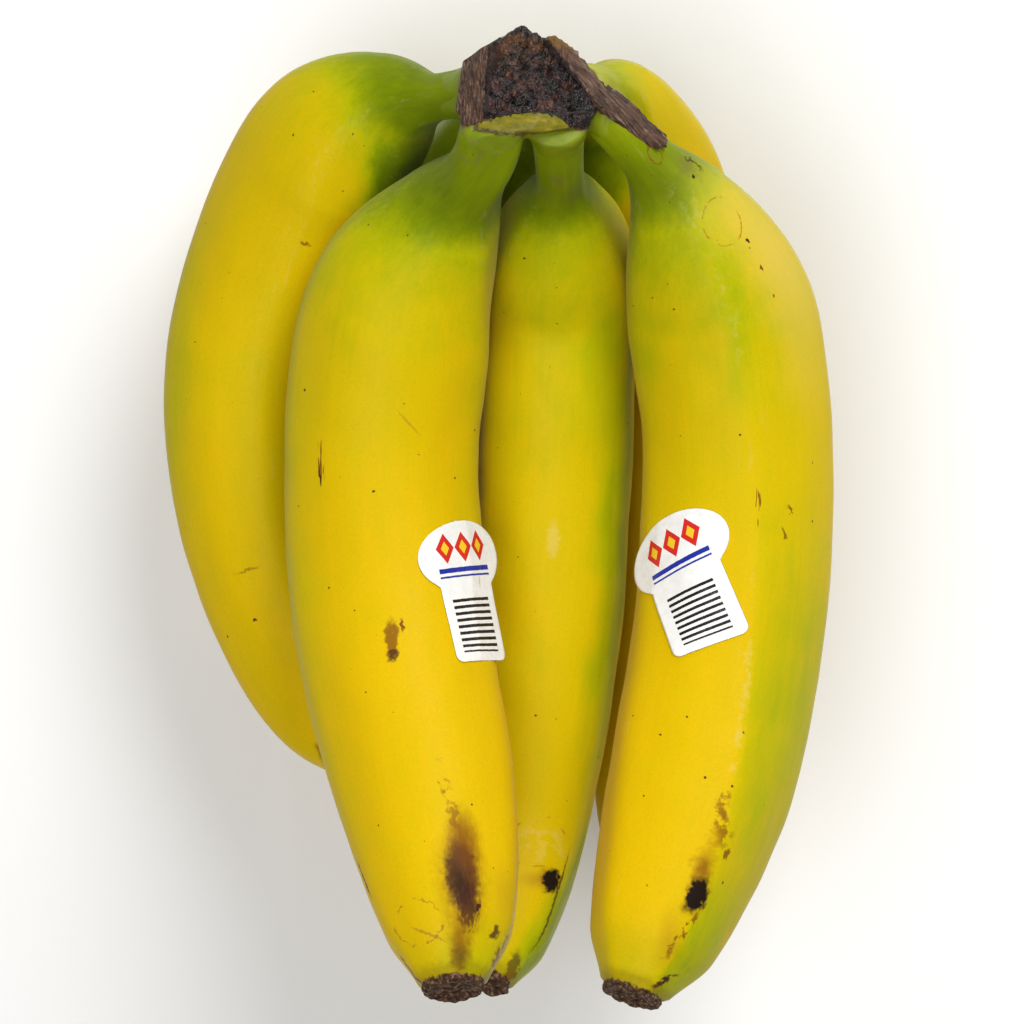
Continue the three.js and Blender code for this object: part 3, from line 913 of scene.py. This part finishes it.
# Corners in mm, in the bananas' own coordinates. Each cut area is a flat patch on the crown's skin.
crown = {
    "voxel": 0.42,
    "body": [
        (-5.7, 77.6, 37), (5.7, 78.2, 38.6), (16.6, 78.8, 33), (12.6, 83.5, 28.6), (9.2, 89, 25),
        (6.2, 94.2, 23.6), (2.1, 96.9, 20), (-4.4, 93.6, 24), (-9.8, 90.3, 19), (-10.2, 84.6, 24),
        (-11.2, 79.2, 30), (-8.3, 75.7, 34), (-2.7, 74, 38.2), (3.6, 73.4, 38.8), (11.6, 75.2, 36),
        (14.8, 75.6, 33), (-11, 80, 10), (-9.5, 89.5, 8), (-6, 79, 3), (18, 80, 5), (-4, 90, 3), (8, 91, 3),
        (16.5, 87, 8), (4, 95.5, 12), (-7, 75.5, 24), (12, 76, 20),
    ],
    "flap": [
        (8.2, 95.3, 24), (12.2, 92.5, 23.6), (16.7, 87.3, 23), (18.4, 85, 23), (19, 80, 26),
        (18.1, 78.8, 33), (13.4, 84.3, 29.2), (10.1, 90, 26), (6.9, 93, 25.4), (7, 94.4, 22), (9, 91, 17),
        (15, 86, 14), (17, 80, 20),
    ],
    "strip": [
        (17.6, 79.2, 32), (15, 85, 27.5), (18, 85.4, 22.6), (25.6, 79.9, 23.6), (31.2, 74.8, 23.2),
        (31, 72.6, 25.4), (28.8, 71.6, 26.6), (23.1, 75.4, 29.0), (20, 78, 31), (20, 80, 22),
        (28, 74, 21.5),
    ],
    "neckStart": {"banana_front_middle": -4.0, "banana_front_right": 1.0},
    "neckReach": {             # mm that the crown's skin follows each neck
        "banana_front_left": 6, "banana_front_middle": 5, "banana_front_right": 13,
        "banana_back_left": 13, "banana_back_middle": 19, "banana_back_right": 20,
    },
    "neckStep": 1.0,           # mm between the rings of that skin
    "neckOverlap": 1.3,        # how much longer than a step each is
    "neckCover": (0.32, 0.62),     # mm outside the neck at first, and how much is lost by its end
    "wet": [                   # the fresh cut across the middle
        [(-5.7, 77.6, 37), (5.7, 78.2, 38.6), (9.3, 78.1, 38), (18.1, 78.8, 33), (13.4, 84.3, 28.8),
         (10.0, 90, 25.2), (6.2, 94.2, 23.6), (2.1, 96.9, 20), (-4.4, 93.6, 24)],
        [(8.0, 79, 37.4), (18.1, 79.5, 33), (15.0, 75.4, 33.6), (11.4, 75.2, 36)],
    ],
    "dried": [                 # trimmed earlier and dried brown
        [(-5.7, 77.6, 37), (-4.4, 93.6, 24), (-9.8, 90.3, 19), (-10.4, 84.6, 24), (-11.3, 79.2, 30),
         (-8.3, 75.5, 34)],
    ],
    "flesh": [                 # a thin slice of green flesh under the cut
        [(-7.1, 74.9, 36), (-6.3, 76.9, 36.6), (-2, 77.9, 38.2), (5.7, 78.2, 38.6), (9.3, 77.9, 38),
         (11.8, 76.2, 36.3), (12, 75, 36), (7.6, 74.2, 37.8), (3.6, 73.5, 38.8), (0.4, 74, 38.8),
         (-2.7, 74, 38.2)],
    ],
    "planes": [                # nothing stands out past the knife's cuts: axis, from and to, in mm
        {"facing": (0.568, 0.664, 0.486), "level": 78.9, "where": (0, 16, 19)},
        {"facing": (-0.602, 0.532, 0.594), "level": 66.8, "where": (1, 74.5, 76.5)},
        {"facing": (-0.234, 0.146, 0.962), "level": 47.4, "where": (1, 72.5, 74.5)},
        {"facing": (-0.137, 0.685, 0.715), "level": 80.6, "where": (1, 76, 78)},
        {"facing": (0, -0.665, 0.747), "level": -20.8, "edge": 1.2, "where": (1, 76, 74.5)},
    ],
    "skinDepth": {"wet": 3.2, "dried": 2.4, "flesh": 1.6},   # mm off its patch that a cut still reaches
    "farOutside": -20.0,       # mm, the most that is told apart
    "flapDepth": 0.8,          # mm, the same for the flap and the strip, which are dried all round
    "flapFade": 3,             # how fast it is lost outside them
    "softening": 40,           # rounds of smoothing on the green skin
    "softFrom": -0.6,          # mm outside every cut where it starts
    "wetEdge": (-0.2, 1.6),    # mm inside its patch where the wet cut's relief starts and is full
    "driedEdge": (-0.4, 0.8),
    "hollow": 1.7,             # mm that the cut is dished
    "hollowEdge": (0.2, 5),
    "lumps": 1.15,             # mm, on the wet cut
    "lumpSizes": {"coarse": 2.3, "clump": 1.9, "fine": 0.95},
    "fibres": 0.35,            # mm, on the dried rind
    "fibreSize": (0.7, 4),     # mm across and along
    "fibreTurn": (12, 18),     # mm in X where they turn to run along the strip
    "lip": (0.35, 0.7),        # mm that the wet cut's top edge stands up: plain and torn
    "lipPlace": (0.2, 0.7),    # mm inside the patch, and how wide
    "lipFrom": (80, 84),       # mm in Y
    "seam": 0.25,              # mm deep, round the slice of flesh
    "seamPlace": (-0.2, 0.5),
    "waves": 0.12,             # mm, on everything but the wet cut
}


def hullInto(lump, corners):
    verts = [lump.verts.new(corner) for corner in corners]
    hull = bmesh.ops.convex_hull(lump, input=verts)
    inside = [item for item in hull["geom_interior"] if isinstance(item, bmesh.types.BMVert)]
    bmesh.ops.delete(lump, geom=inside, context="VERTS")


def neckInto(lump, spec, reach):
    # the crown's skin running down a neck and thinning out on it
    step = crown["neckStep"]
    depth = step * crown["neckOverlap"]
    cover, loss = crown["neckCover"]
    distance = crown["neckStart"].get(spec["node"], 0.0)
    while distance < reach:
        ends = (distance, distance + depth)
        radii = [flaredRadius(spec, at) + cover - loss * smooth(0, reach, at) for at in ends]
        place, along, up, right = frameAt(spec["middle"], distance + depth / 2)
        turn = Matrix((right, up, along)).transposed().to_4x4()
        bmesh.ops.create_cone(
            lump, cap_ends=True, segments=48, radius1=radii[0], radius2=radii[1], depth=depth,
            matrix=Matrix.Translation(place) @ turn,
        )
        distance += step


def around(corners):
    # each corner with the next one
    return zip(corners, corners[1:] + corners[:1])


def flatPatches(outlines):
    patches = []
    for outline in outlines:
        corners = [Vector(corner) for corner in outline]
        middle = sum(corners, Vector()) / len(corners)
        normal = Vector()
        for a, b in around(corners):
            normal += (a - middle).cross(b - middle)
        patches.append((corners, middle, normal.normalized()))
    return patches


def depthInto(patches, thickness, point):
    # mm that a point lies inside the nearest of the flat patches, negative outside them all
    best = crown["farOutside"]
    for corners, middle, normal in patches:
        level = abs((point - middle).dot(normal))
        inside = min((point - a).dot(normal.cross(b - a).normalized()) for a, b in around(corners))
        best = max(best, min(inside, thickness - level))
    return best


def hullSides(corners):
    # a point and the outward direction of each side of a hull
    lump = bmesh.new()
    hullInto(lump, corners)
    bmesh.ops.recalc_face_normals(lump, faces=lump.faces)
    sides = [(face.calc_center_median(), face.normal.copy()) for face in lump.faces]
    lump.free()
    return sides


def greenAt(spec, distance):
    for (start, low), (stop, high) in zip(spec["greens"], spec["greens"][1:]):
        if distance <= stop:
            return lerp(low, high, (distance - start) / (stop - start))
    return spec["greens"][-1][1]


def neckGreens():
    # a lookup from a place on the crown to how green the peel of the necks beside it is
    spots = []
    for spec in bananas:
        for distance in range(0, crown["neckReach"][spec["node"]] + 4, 2):    # to a little past the skin
            spots.append((frameAt(spec["middle"], distance)[0], greenAt(spec, distance)))
    nearby = kdtree.KDTree(len(spots))
    for index, (place, _) in enumerate(spots):
        nearby.insert(place, index)
    nearby.balance()

    def blended(point):
        total = weights = 0.0
        for _, index, gap in nearby.find_n(point, 6):
            weight = 1 / (1 + gap) ** 4
            total += weight * spots[index][1]
            weights += weight
        return total / weights

    return blended


def remeshed(lump, voxel):
    # the overlapping lumps joined in one skin
    rough = newObject("rough", lump)
    skin = rough.modifiers.new("fuse", "REMESH")
    skin.mode = "VOXEL"
    skin.voxel_size = voxel
    joined = bpy.data.meshes.new_from_object(rough.evaluated_get(bpy.context.evaluated_depsgraph_get()))
    bpy.data.objects.remove(rough)
    result = bmesh.new()
    result.from_mesh(joined)
    bpy.data.meshes.remove(joined)
    return result


def smoothed(skin, verts):
    bmesh.ops.smooth_vert(skin, verts=verts, factor=0.5, use_axis_x=True, use_axis_y=True, use_axis_z=True)


def fusedCrown():
    lump = bmesh.new()
    for part in ("body", "flap", "strip"):
        hullInto(lump, crown[part])
    for spec in bananas:
        neckInto(lump, spec, crown["neckReach"][spec["node"]])
    bmesh.ops.recalc_face_normals(lump, faces=lump.faces)
    skin = remeshed(lump, crown["voxel"])
    smoothed(skin, skin.verts)
    return skin


def markCuts(skin, layers, areas):
    # trims the skin to the knife's cuts and writes what the finish reads
    inner = skin.verts.layers.float_vector.new("inner")
    greenness = skin.verts.layers.float.new("greenness")
    greenHere = neckGreens()
    driedLumps = [hullSides(crown[part]) for part in ("flap", "strip")]
    for vert in skin.verts:
        for cut in crown["planes"]:
            axis, low, high = cut["where"]
            vert.co -= Vector(cut["facing"]) * past(cut, vert.co) * smooth(low, high, vert.co[axis])
        vert[inner] = vert.co
        vert[greenness] = greenHere(vert.co)
        for name, patches in areas.items():
            vert[layers[name]] = depthInto(patches, crown["skinDepth"][name], vert.co)
        for sides in driedLumps:
            outside = max((vert.co - spot).dot(normal) for spot, normal in sides)
            depth = crown["flapDepth"] - crown["flapFade"] * max(0.0, outside)
            vert[layers["dried"]] = max(vert[layers["dried"]], depth)


def roughenCuts(skin, layers, wetNormal):
    skin.normal_update()
    sizes = crown["lumpSizes"]
    across, along = crown["fibreSize"]
    plainLip, tornLip = crown["lip"]
    for vert in skin.verts:
        point = vert.co.copy()
        wet, dried, flesh = (vert[layers[name]] for name in ("wet", "dried", "flesh"))
        coarse = noise.noise(point / sizes["coarse"])
        fine = noise.noise(point / sizes["fine"] + Vector((9, 0, 0)))
        clump = abs(noise.noise(point / sizes["clump"] + Vector((0, 5, 0)))) * 2 - 0.5
        inWet = smooth(*crown["wetEdge"], wet)
        inDried = smooth(*crown["driedEdge"], dried) * (1 - inWet)
        rise = inWet * crown["lumps"] * (0.9 * coarse + 0.4 * clump + 0.35 * fine)
        upright = noise.noise(Vector((point.x / across, point.y / along, point.z / along)))
        slanting = Vector(((point.x - point.y) / along, (point.x + point.y) / across, point.z / along))
        fibre = lerp(upright, noise.noise(slanting), smooth(*crown["fibreTurn"], point.x))
        rise += inDried * crown["fibres"] * (fibre + 0.8 * fine)
        lip = bell(wet, *crown["lipPlace"]) * smooth(*crown["lipFrom"], point.y)
        rise += lip * (plainLip + tornLip * fine)
        rise -= crown["seam"] * bell(flesh, *crown["seamPlace"])
        rise += crown["waves"] * coarse * (1 - inWet)
        vert.co += vert.normal * rise - wetNormal * crown["hollow"] * smooth(*crown["hollowEdge"], wet)


def carveCrown():
    skin = fusedCrown()
    areas = {name: flatPatches(crown[name]) for name in ("wet", "dried", "flesh")}
    layers = {name: skin.verts.layers.float.new(name) for name in areas}
    markCuts(skin, layers, areas)
    green = [v for v in skin.verts if max(v[layer] for layer in layers.values()) < crown["softFrom"]]
    for _ in range(crown["softening"]):
        smoothed(skin, green)
    roughenCuts(skin, layers, areas["wet"][0][2])
    for vert in skin.verts:
        vert.co = toPart @ vert.co
    bmesh.ops.recalc_face_normals(skin, faces=skin.faces)
    made = newObject("crown_cut", skin)
    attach(made, "root")
    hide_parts("crown")
    made.data.materials.append(crownFinish())
    return made


# Sizes of grain are in mm; colour stops are (how light the grain is, colour).
crownLook = {
    "tornEdge": (0.9, 5.0, 0.45),    # of a cut's outline: size, detail, reach in mm
    "cutMargin": {"wet": 0.0, "dried": 0.55, "flesh": 0.1},     # mm that each colour spreads past its cut
    "cutSoftness": 0.12,
    "mottle": (3.0, 4.0, 0.06),      # of the green skin: size, detail, amount
    "scratches": {
        "size": (1.2, 2.0, 2.0), "from": 0.54, "to": 0.64, "strength": 0.6, "near": (-6.0, -0.5),
        "colour": (0.20, 0.15, 0.035),
    },
    "rim": {"near": (-0.9, -0.1), "colour": (0.07, 0.035, 0.018)},      # the brown line round every cut
    "pulp": {
        "size": (3.0, 1.2, 1.5),
        "colours": [(0.35, (0.12, 0.12, 0.004)), (0.55, (0.19, 0.165, 0.006)), (0.75, (0.33, 0.23, 0.018))],
    },
    "nibbles": {"size": (1.2, 0.4, 0.8), "from": 0.62, "to": 0.68, "colour": (0.13, 0.05, 0.012)},
    "rind": {
        "flapSize": (0.28, 3.5, 3.5),
        "stripSize": (4.5, 0.28, 4.5), "stripTurn": 48, "stripFrom": (8.0, 14.0),
        "colours": [
            (0.32, (0.014, 0.008, 0.006)), (0.46, (0.062, 0.028, 0.015)), (0.57, (0.135, 0.072, 0.044)),
            (0.71, (0.30, 0.22, 0.17)),
        ],
    },
    "blotches": {"size": 2.6, "from": 0.50, "to": 0.64, "strength": 0.7, "colour": (0.022, 0.012, 0.010)},
    "paleTip": {"x": (5.0, 7.5), "y": (91.0, 93.5), "strength": 0.7, "colour": (0.20, 0.105, 0.018)},
    "wet": {
        "size": 2.4,
        "colours": [
            (0.38, (0.004, 0.003, 0.003)), (0.50, (0.014, 0.006, 0.005)), (0.59, (0.040, 0.013, 0.009)),
            (0.70, (0.105, 0.040, 0.018)),
        ],
    },
    # painted shade: the wet cut darkened to near black towards its +X side
    "paintedShadeSide": {"where": (-15.0, -10.5), "lean": 0.3, "strength": 0.8, "colour": (0.005, 0.003, 0.003)},
    "ochreTop": {
        "size": 1.8, "from": 0.40, "to": 0.64, "y": (87.5, 94.0), "strength": 0.8,
        "colour": (0.11, 0.042, 0.009),
    },
    "wetRim": {"near": (1.6, 0.1), "colour": (0.014, 0.007, 0.006)},
    "damp": {"size": 2.2, "from": -0.15, "to": 0.5, "least": 0.12},     # roughness of the wet cut
    "dryRoughness": 0.3,             # the rind's, more than the skin's
    "specular": 0.3,
    "relief": {"wet": (1.5, 3.0, 1.6), "skin": (0.6, 3.0, 0.08), "strands": 0.6},    # size, detail, mm
    "reliefStrength": 0.9,
}


def cutEdges(tree, inner):
    # mm inside each kind of cut, with torn outlines
    size, detail, reach = crownLook["tornEdge"]
    torn = stretch(tree, grain(tree, inner, size, detail), -reach, reach)
    edges = {}
    for name, margin in crownLook["cutMargin"].items():
        edges[name] = maths(tree, "ADD", maths(tree, "ADD", attribute(tree, name, "Fac"), torn), margin)
    return edges


def greenSkin(tree, inner, edges):
    # as green as the necks, scratched and stained brown beside the cuts
    size, detail, amount = crownLook["mottle"]
    mottle = stretch(tree, grain(tree, inner, size, detail), -amount, amount)
    green = maths(tree, "ADD", attribute(tree, "greenness", "Fac"), mottle)
    green = gradient(tree, green, ripeColours, "LINEAR")
    nearest = maths(tree, "MAXIMUM", maths(tree, "MAXIMUM", edges["wet"], edges["dried"]), edges["flesh"])
    scratches, rim = crownLook["scratches"], crownLook["rim"]
    tan = scaled(tree, lightGrain(tree, inner, scratches, 5.0), ease(tree, nearest, *scratches["near"]))
    colour = blend(tree, tan, green, scratches["colour"])
    return blend(tree, ease(tree, nearest, *rim["near"]), colour, rim["colour"])


def pulpSlice(tree, inner):
    look, nibbles = crownLook["pulp"], crownLook["nibbles"]
    pulp = gradient(tree, grain(tree, inner, look["size"], 4.0), look["colours"])
    return blend(tree, lightGrain(tree, inner, nibbles), pulp, nibbles["colour"])


def rindFibres(tree, inner, x):
    # fibres down the flap, and along the strip where it turns away to the right
    look = crownLook["rind"]
    flap = grain(tree, inner, look["flapSize"], 5.0)
    sockets = {"Vector": inner, "Rotation": (0, 0, math.radians(look["stripTurn"]))}
    turned = addNode(tree, "ShaderNodeMapping", sockets).outputs[0]
    strip = grain(tree, turned, look["stripSize"], 5.0)
    sockets = {0: ease(tree, x, *look["stripFrom"]), 2: flap, 3: strip}
    return addNode(tree, "ShaderNodeMix", sockets).outputs[0]


def driedRind(tree, inner, fibres, x, y):
    blotches, tip = crownLook["blotches"], crownLook["paleTip"]
    rind = gradient(tree, fibres, crownLook["rind"]["colours"])
    rind = blend(tree, lightGrain(tree, inner, blotches), rind, blotches["colour"])
    there = scaled(tree, ease(tree, y, *tip["y"]), ease(tree, x, *tip["x"], tip["strength"]))
    return blend(tree, there, rind, tip["colour"])


def wetCut(tree, inner, edge, x, y):
    # black-brown with ochre at the top, and painted shade that turns it near black towards its +X side
    look, dark, ochre, rim = (crownLook[name] for name in ("wet", "paintedShadeSide", "ochreTop", "wetRim"))
    flesh = gradient(tree, grain(tree, inner, look["size"], 5.0), look["colours"])
    side = maths(tree, "SUBTRACT", x, scaled(tree, y, dark["lean"]))
    low, high = dark["where"]
    flesh = blend(tree, ease(tree, side, low, high, dark["strength"]), flesh, dark["colour"])
    there = scaled(tree, ease(tree, y, *ochre["y"]), lightGrain(tree, inner, ochre, 5.0))
    flesh = blend(tree, there, flesh, ochre["colour"])
    return blend(tree, ease(tree, edge, *rim["near"]), flesh, rim["colour"])


def crownRelief(tree, inner, fibres, cover):
    relief = crownLook["relief"]
    size, detail, height = relief["wet"]
    total = scaled(tree, grain(tree, inner, size, detail), scaled(tree, cover["wet"], height))
    total = maths(tree, "ADD", total, scaled(tree, scaled(tree, fibres, relief["strands"]), cover["dried"]))
    size, detail, height = relief["skin"]
    total = maths(tree, "ADD", total, scaled(tree, grain(tree, inner, size, detail), height))
    sockets = {"Height": total, "Strength": crownLook["reliefStrength"], "Distance": mm}
    return addNode(tree, "ShaderNodeBump", sockets).outputs[0]


def crownFinish():
    finish, tree, shader = newFinish("crown_skin_and_cuts")
    inner = attribute(tree, "inner")
    x, y, _ = split(tree, inner)
    softness = crownLook["cutSoftness"]
    edges = cutEdges(tree, inner)
    cover = {name: ease(tree, edge, -softness, softness) for name, edge in edges.items()}
    fibres = rindFibres(tree, inner, x)
    colour = blend(tree, cover["flesh"], greenSkin(tree, inner, edges), pulpSlice(tree, inner))
    colour = blend(tree, cover["dried"], colour, driedRind(tree, inner, fibres, x, y))
    colour = blend(tree, cover["wet"], colour, wetCut(tree, inner, edges["wet"], x, y))
    tree.links.new(colour, shader.inputs["Base Color"])
    look = crownLook["damp"]
    damp = stretch(tree, grain(tree, inner, look["size"], 3.0), look["from"], look["to"])
    damp = maths(tree, "MAXIMUM", damp, look["least"])
    sockets = {0: cover["wet"], 2: peelLook["roughness"], 3: damp}
    rough = addNode(tree, "ShaderNodeMix", sockets).outputs[0]
    rough = maths(tree, "ADD", rough, scaled(tree, cover["dried"], crownLook["dryRoughness"]))
    tree.links.new(rough, shader.inputs["Roughness"])
    shader.inputs["Specular IOR Level"].default_value = crownLook["specular"]
    tree.links.new(crownRelief(tree, inner, fibres, cover), shader.inputs["Normal"])
    return finish


label = {
    "headWidth": 23.2, "headHeight": 15.0,   # mm, the oval top
    "tailWidth": 15.4, "tailLength": 21.2,   # the square tail, from the oval's middle
    "corner": 1.6,
    "leastHalf": 0.6,        # half the width that the oval's top is cut off at
    "lift": 0.22, "thickness": 0.12,
    "rows": 84, "columns": 48,
}
labels = {
    # where each is stuck: share of the banana's length, angle round it, lean of the tail, and the angle
    # past which the paper leaves the peel and goes on straight, to that side
    "label_left": {
        "on": frontLeft, "share": 0.55, "angle": 53, "lean": 7,
        "peelTo": 57, "side": 1, "widen": 0.98,
    },
    "label_right": {
        "on": frontRight, "share": 0.539, "angle": -40, "lean": 28,
        "peelTo": -54, "side": -1, "widen": 1.07,
    },
}


def halfWidth(place, y):
    # half the label's width at height y above the oval's middle
    top, tail = label["headHeight"] / 2, -label["tailLength"]
    oval = label["headWidth"] / 2 * math.sqrt(max(0.0, 1 - (y / top) ** 2))
    square = label["tailWidth"] / 2 if y < 0 else 0.0
    corner = label["corner"]
    if y < tail + corner:
        square -= corner - math.sqrt(max(0.0, corner ** 2 - (tail + corner - y) ** 2))
    return max(oval, square, label["leastHalf"]) * place["widen"]


def labelSqueeze(place):
    # mm of peel under the label for each mm of the banana's middle line
    spec = place["on"]
    turn = math.radians(place["angle"])
    reach = 5
    ends = []
    for distance in (place["share"] * spec["length"] - reach, place["share"] * spec["length"] + reach):
        middle, along, upward, sideways = frameAt(spec["middle"], distance)
        outward = upward * math.cos(turn) + sideways * math.sin(turn)
        ends.append(middle + outward * plainRadius(spec, distance))
    return (ends[1] - ends[0]).length / (2 * reach)


def labelPoint(place, across, up):
    # a point of the flat label laid on its banana
    spec = place["on"]
    lean = math.radians(place["lean"])
    right = across * math.cos(lean) - up * math.sin(lean)
    crownward = up * math.cos(lean) + across * math.sin(lean)
    distance = place["share"] * spec["length"] - crownward / labelSqueeze(place)
    radius = plainRadius(spec, distance)
    angle = place["angle"] + math.degrees(right / radius)
    beyond = max(0.0, (angle - place["peelTo"]) * place["side"])
    held = angle - beyond * place["side"]
    middle, along, upward, sideways = frameAt(spec["middle"], distance)
    turn = math.radians(held)
    outward = upward * math.cos(turn) + sideways * math.sin(turn)
    tangent = (sideways * math.cos(turn) - upward * math.sin(turn)) * place["side"]
    skin = radius * ridgeShape(spec, distance, held) + label["lift"]
    skin += unevenness(spec, straightSpot(radius, held, distance), radius)
    return middle + outward * skin + tangent * math.radians(beyond) * radius


def cutLabel(name):
    place = labels[name]
    sheet = bmesh.new()
    printed = sheet.loops.layers.uv.new("printed")
    bmesh.ops.create_grid(sheet, x_segments=label["columns"], y_segments=label["rows"], size=0.5)
    top, tail = label["headHeight"] / 2, -label["tailLength"]
    flat = {}
    for vert in sheet.verts:
        y = lerp(tail, top, 0.5 - 0.5 * math.cos(math.pi * (vert.co.y + 0.5)))
        flat[vert] = (vert.co.x * 2 * halfWidth(place, y), y)
    for face in sheet.faces:
        for loop in face.loops:
            loop[printed].uv = flat[loop.vert]
    for vert, (across, up) in flat.items():
        vert.co = toPart @ labelPoint(place, across, up)
    made = newObject(name + "_paper", sheet)
    paper = made.modifiers.new("thickness", "SOLIDIFY")
    paper.thickness = label["thickness"] * mm
    paper.offset = 1
    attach(made, "root")
    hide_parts(name)
    return made


# In mm on the flat label, from the middle of the oval: a row of lozenges, two rules and a block of bars.
labelPrint = {
    "paper": [(0.3, (0.80, 0.80, 0.79)), (0.7, (0.88, 0.88, 0.88))],
    "shake": (0.35, 0.05),       # of the inks' edges: size and reach
    "halfWidth": 7.2,            # of the lozenges and the rules
    "pitch": 4.8,                # between the lozenges
    "lozengeHeight": 2.0,        # of their middles
    "lozenges": [                # half width, half height, ink
        (2.3, 3.2, (0.62, 0.02, 0.015)),
        (1.05, 1.5, (0.85, 0.55, 0.02)),
    ],
    "rules": [(-3.1, -2.1), (-4.1, -3.7)],
    "ruleInk": (0.010, 0.025, 0.32),
    "bars": (-19.3, -7.8),       # bottom and top of the block
    "barPitch": 1.3, "barThickness": 0.62, "barHalfWidth": 5.4,
    "barInk": (0.012, 0.010, 0.010),
    "roughness": (0.24, 0.34),
    "specular": 0.5,
    "creases": (6, 2.5, 1), "creaseStrength": 0.25,
}


def labelFinish():
    # white glossy paper with a plain print
    finish, tree, shader = newFinish("printed_paper")
    printed = addNode(tree, "ShaderNodeUVMap", uv_map="printed").outputs[0]
    u, v, _ = split(tree, shaken(tree, printed, *labelPrint["shake"]))

    def wrapped(value, high, low):
        return addNode(tree, "ShaderNodeMath", {0: value, 1: high, 2: low}, operation="WRAP").outputs[0]

    def within(value, half):
        return maths(tree, "LESS_THAN", maths(tree, "ABSOLUTE", value), half)

    def band(low, high):
        return scaled(tree, maths(tree, "GREATER_THAN", v, low), maths(tree, "LESS_THAN", v, high))

    def lozenges(half, tall):
        pitch = labelPrint["pitch"]
        across = maths(tree, "ABSOLUTE", wrapped(u, pitch / 2, -pitch / 2))
        up = maths(tree, "ABSOLUTE", maths(tree, "SUBTRACT", v, labelPrint["lozengeHeight"]))
        away = maths(tree, "ADD", maths(tree, "DIVIDE", across, half), maths(tree, "DIVIDE", up, tall))
        return maths(tree, "LESS_THAN", away, 1.0)

    middle = within(u, labelPrint["halfWidth"])
    colour = gradient(tree, grain(tree, printed, 3.0, 4.0), labelPrint["paper"])
    for half, tall, ink in labelPrint["lozenges"]:
        colour = blend(tree, scaled(tree, lozenges(half, tall), middle), colour, ink)
    for low, high in labelPrint["rules"]:
        colour = blend(tree, scaled(tree, band(low, high), middle), colour, labelPrint["ruleInk"])
    bars = maths(tree, "LESS_THAN", wrapped(v, labelPrint["barPitch"], 0.0), labelPrint["barThickness"])
    bars = scaled(tree, bars, band(*labelPrint["bars"]))
    bars = scaled(tree, bars, within(u, labelPrint["barHalfWidth"]))
    tree.links.new(blend(tree, bars, colour, labelPrint["barInk"]), shader.inputs["Base Color"])
    rough = stretch(tree, grain(tree, printed, 1.2, 3.0), *labelPrint["roughness"])
    tree.links.new(rough, shader.inputs["Roughness"])
    shader.inputs["Specular IOR Level"].default_value = labelPrint["specular"]
    crease = grain(tree, printed, labelPrint["creases"], 3.0)
    sockets = {"Height": crease, "Strength": labelPrint["creaseStrength"], "Distance": mm}
    tree.links.new(addNode(tree, "ShaderNodeBump", sockets).outputs[0], shader.inputs["Normal"])
    return finish


placeCamera()
placeLights()
layFloor()
bananas = [frontLeft, frontMiddle, frontRight, backLeft, backMiddle, backRight]
for spec in bananas:
    made = growBanana(spec)
    made.data.materials.append(peelFinish(spec))
    print("grown", spec["node"], "length", round(spec["length"], 1), "faces", len(made.data.polygons))

carved = carveCrown()
print("carved the crown, faces", len(carved.data.polygons))
paper = labelFinish()
for name in labels:
    cutLabel(name).data.materials.append(paper)
print("stuck on the labels")

bpy.context.scene.view_settings.view_transform = "Standard"
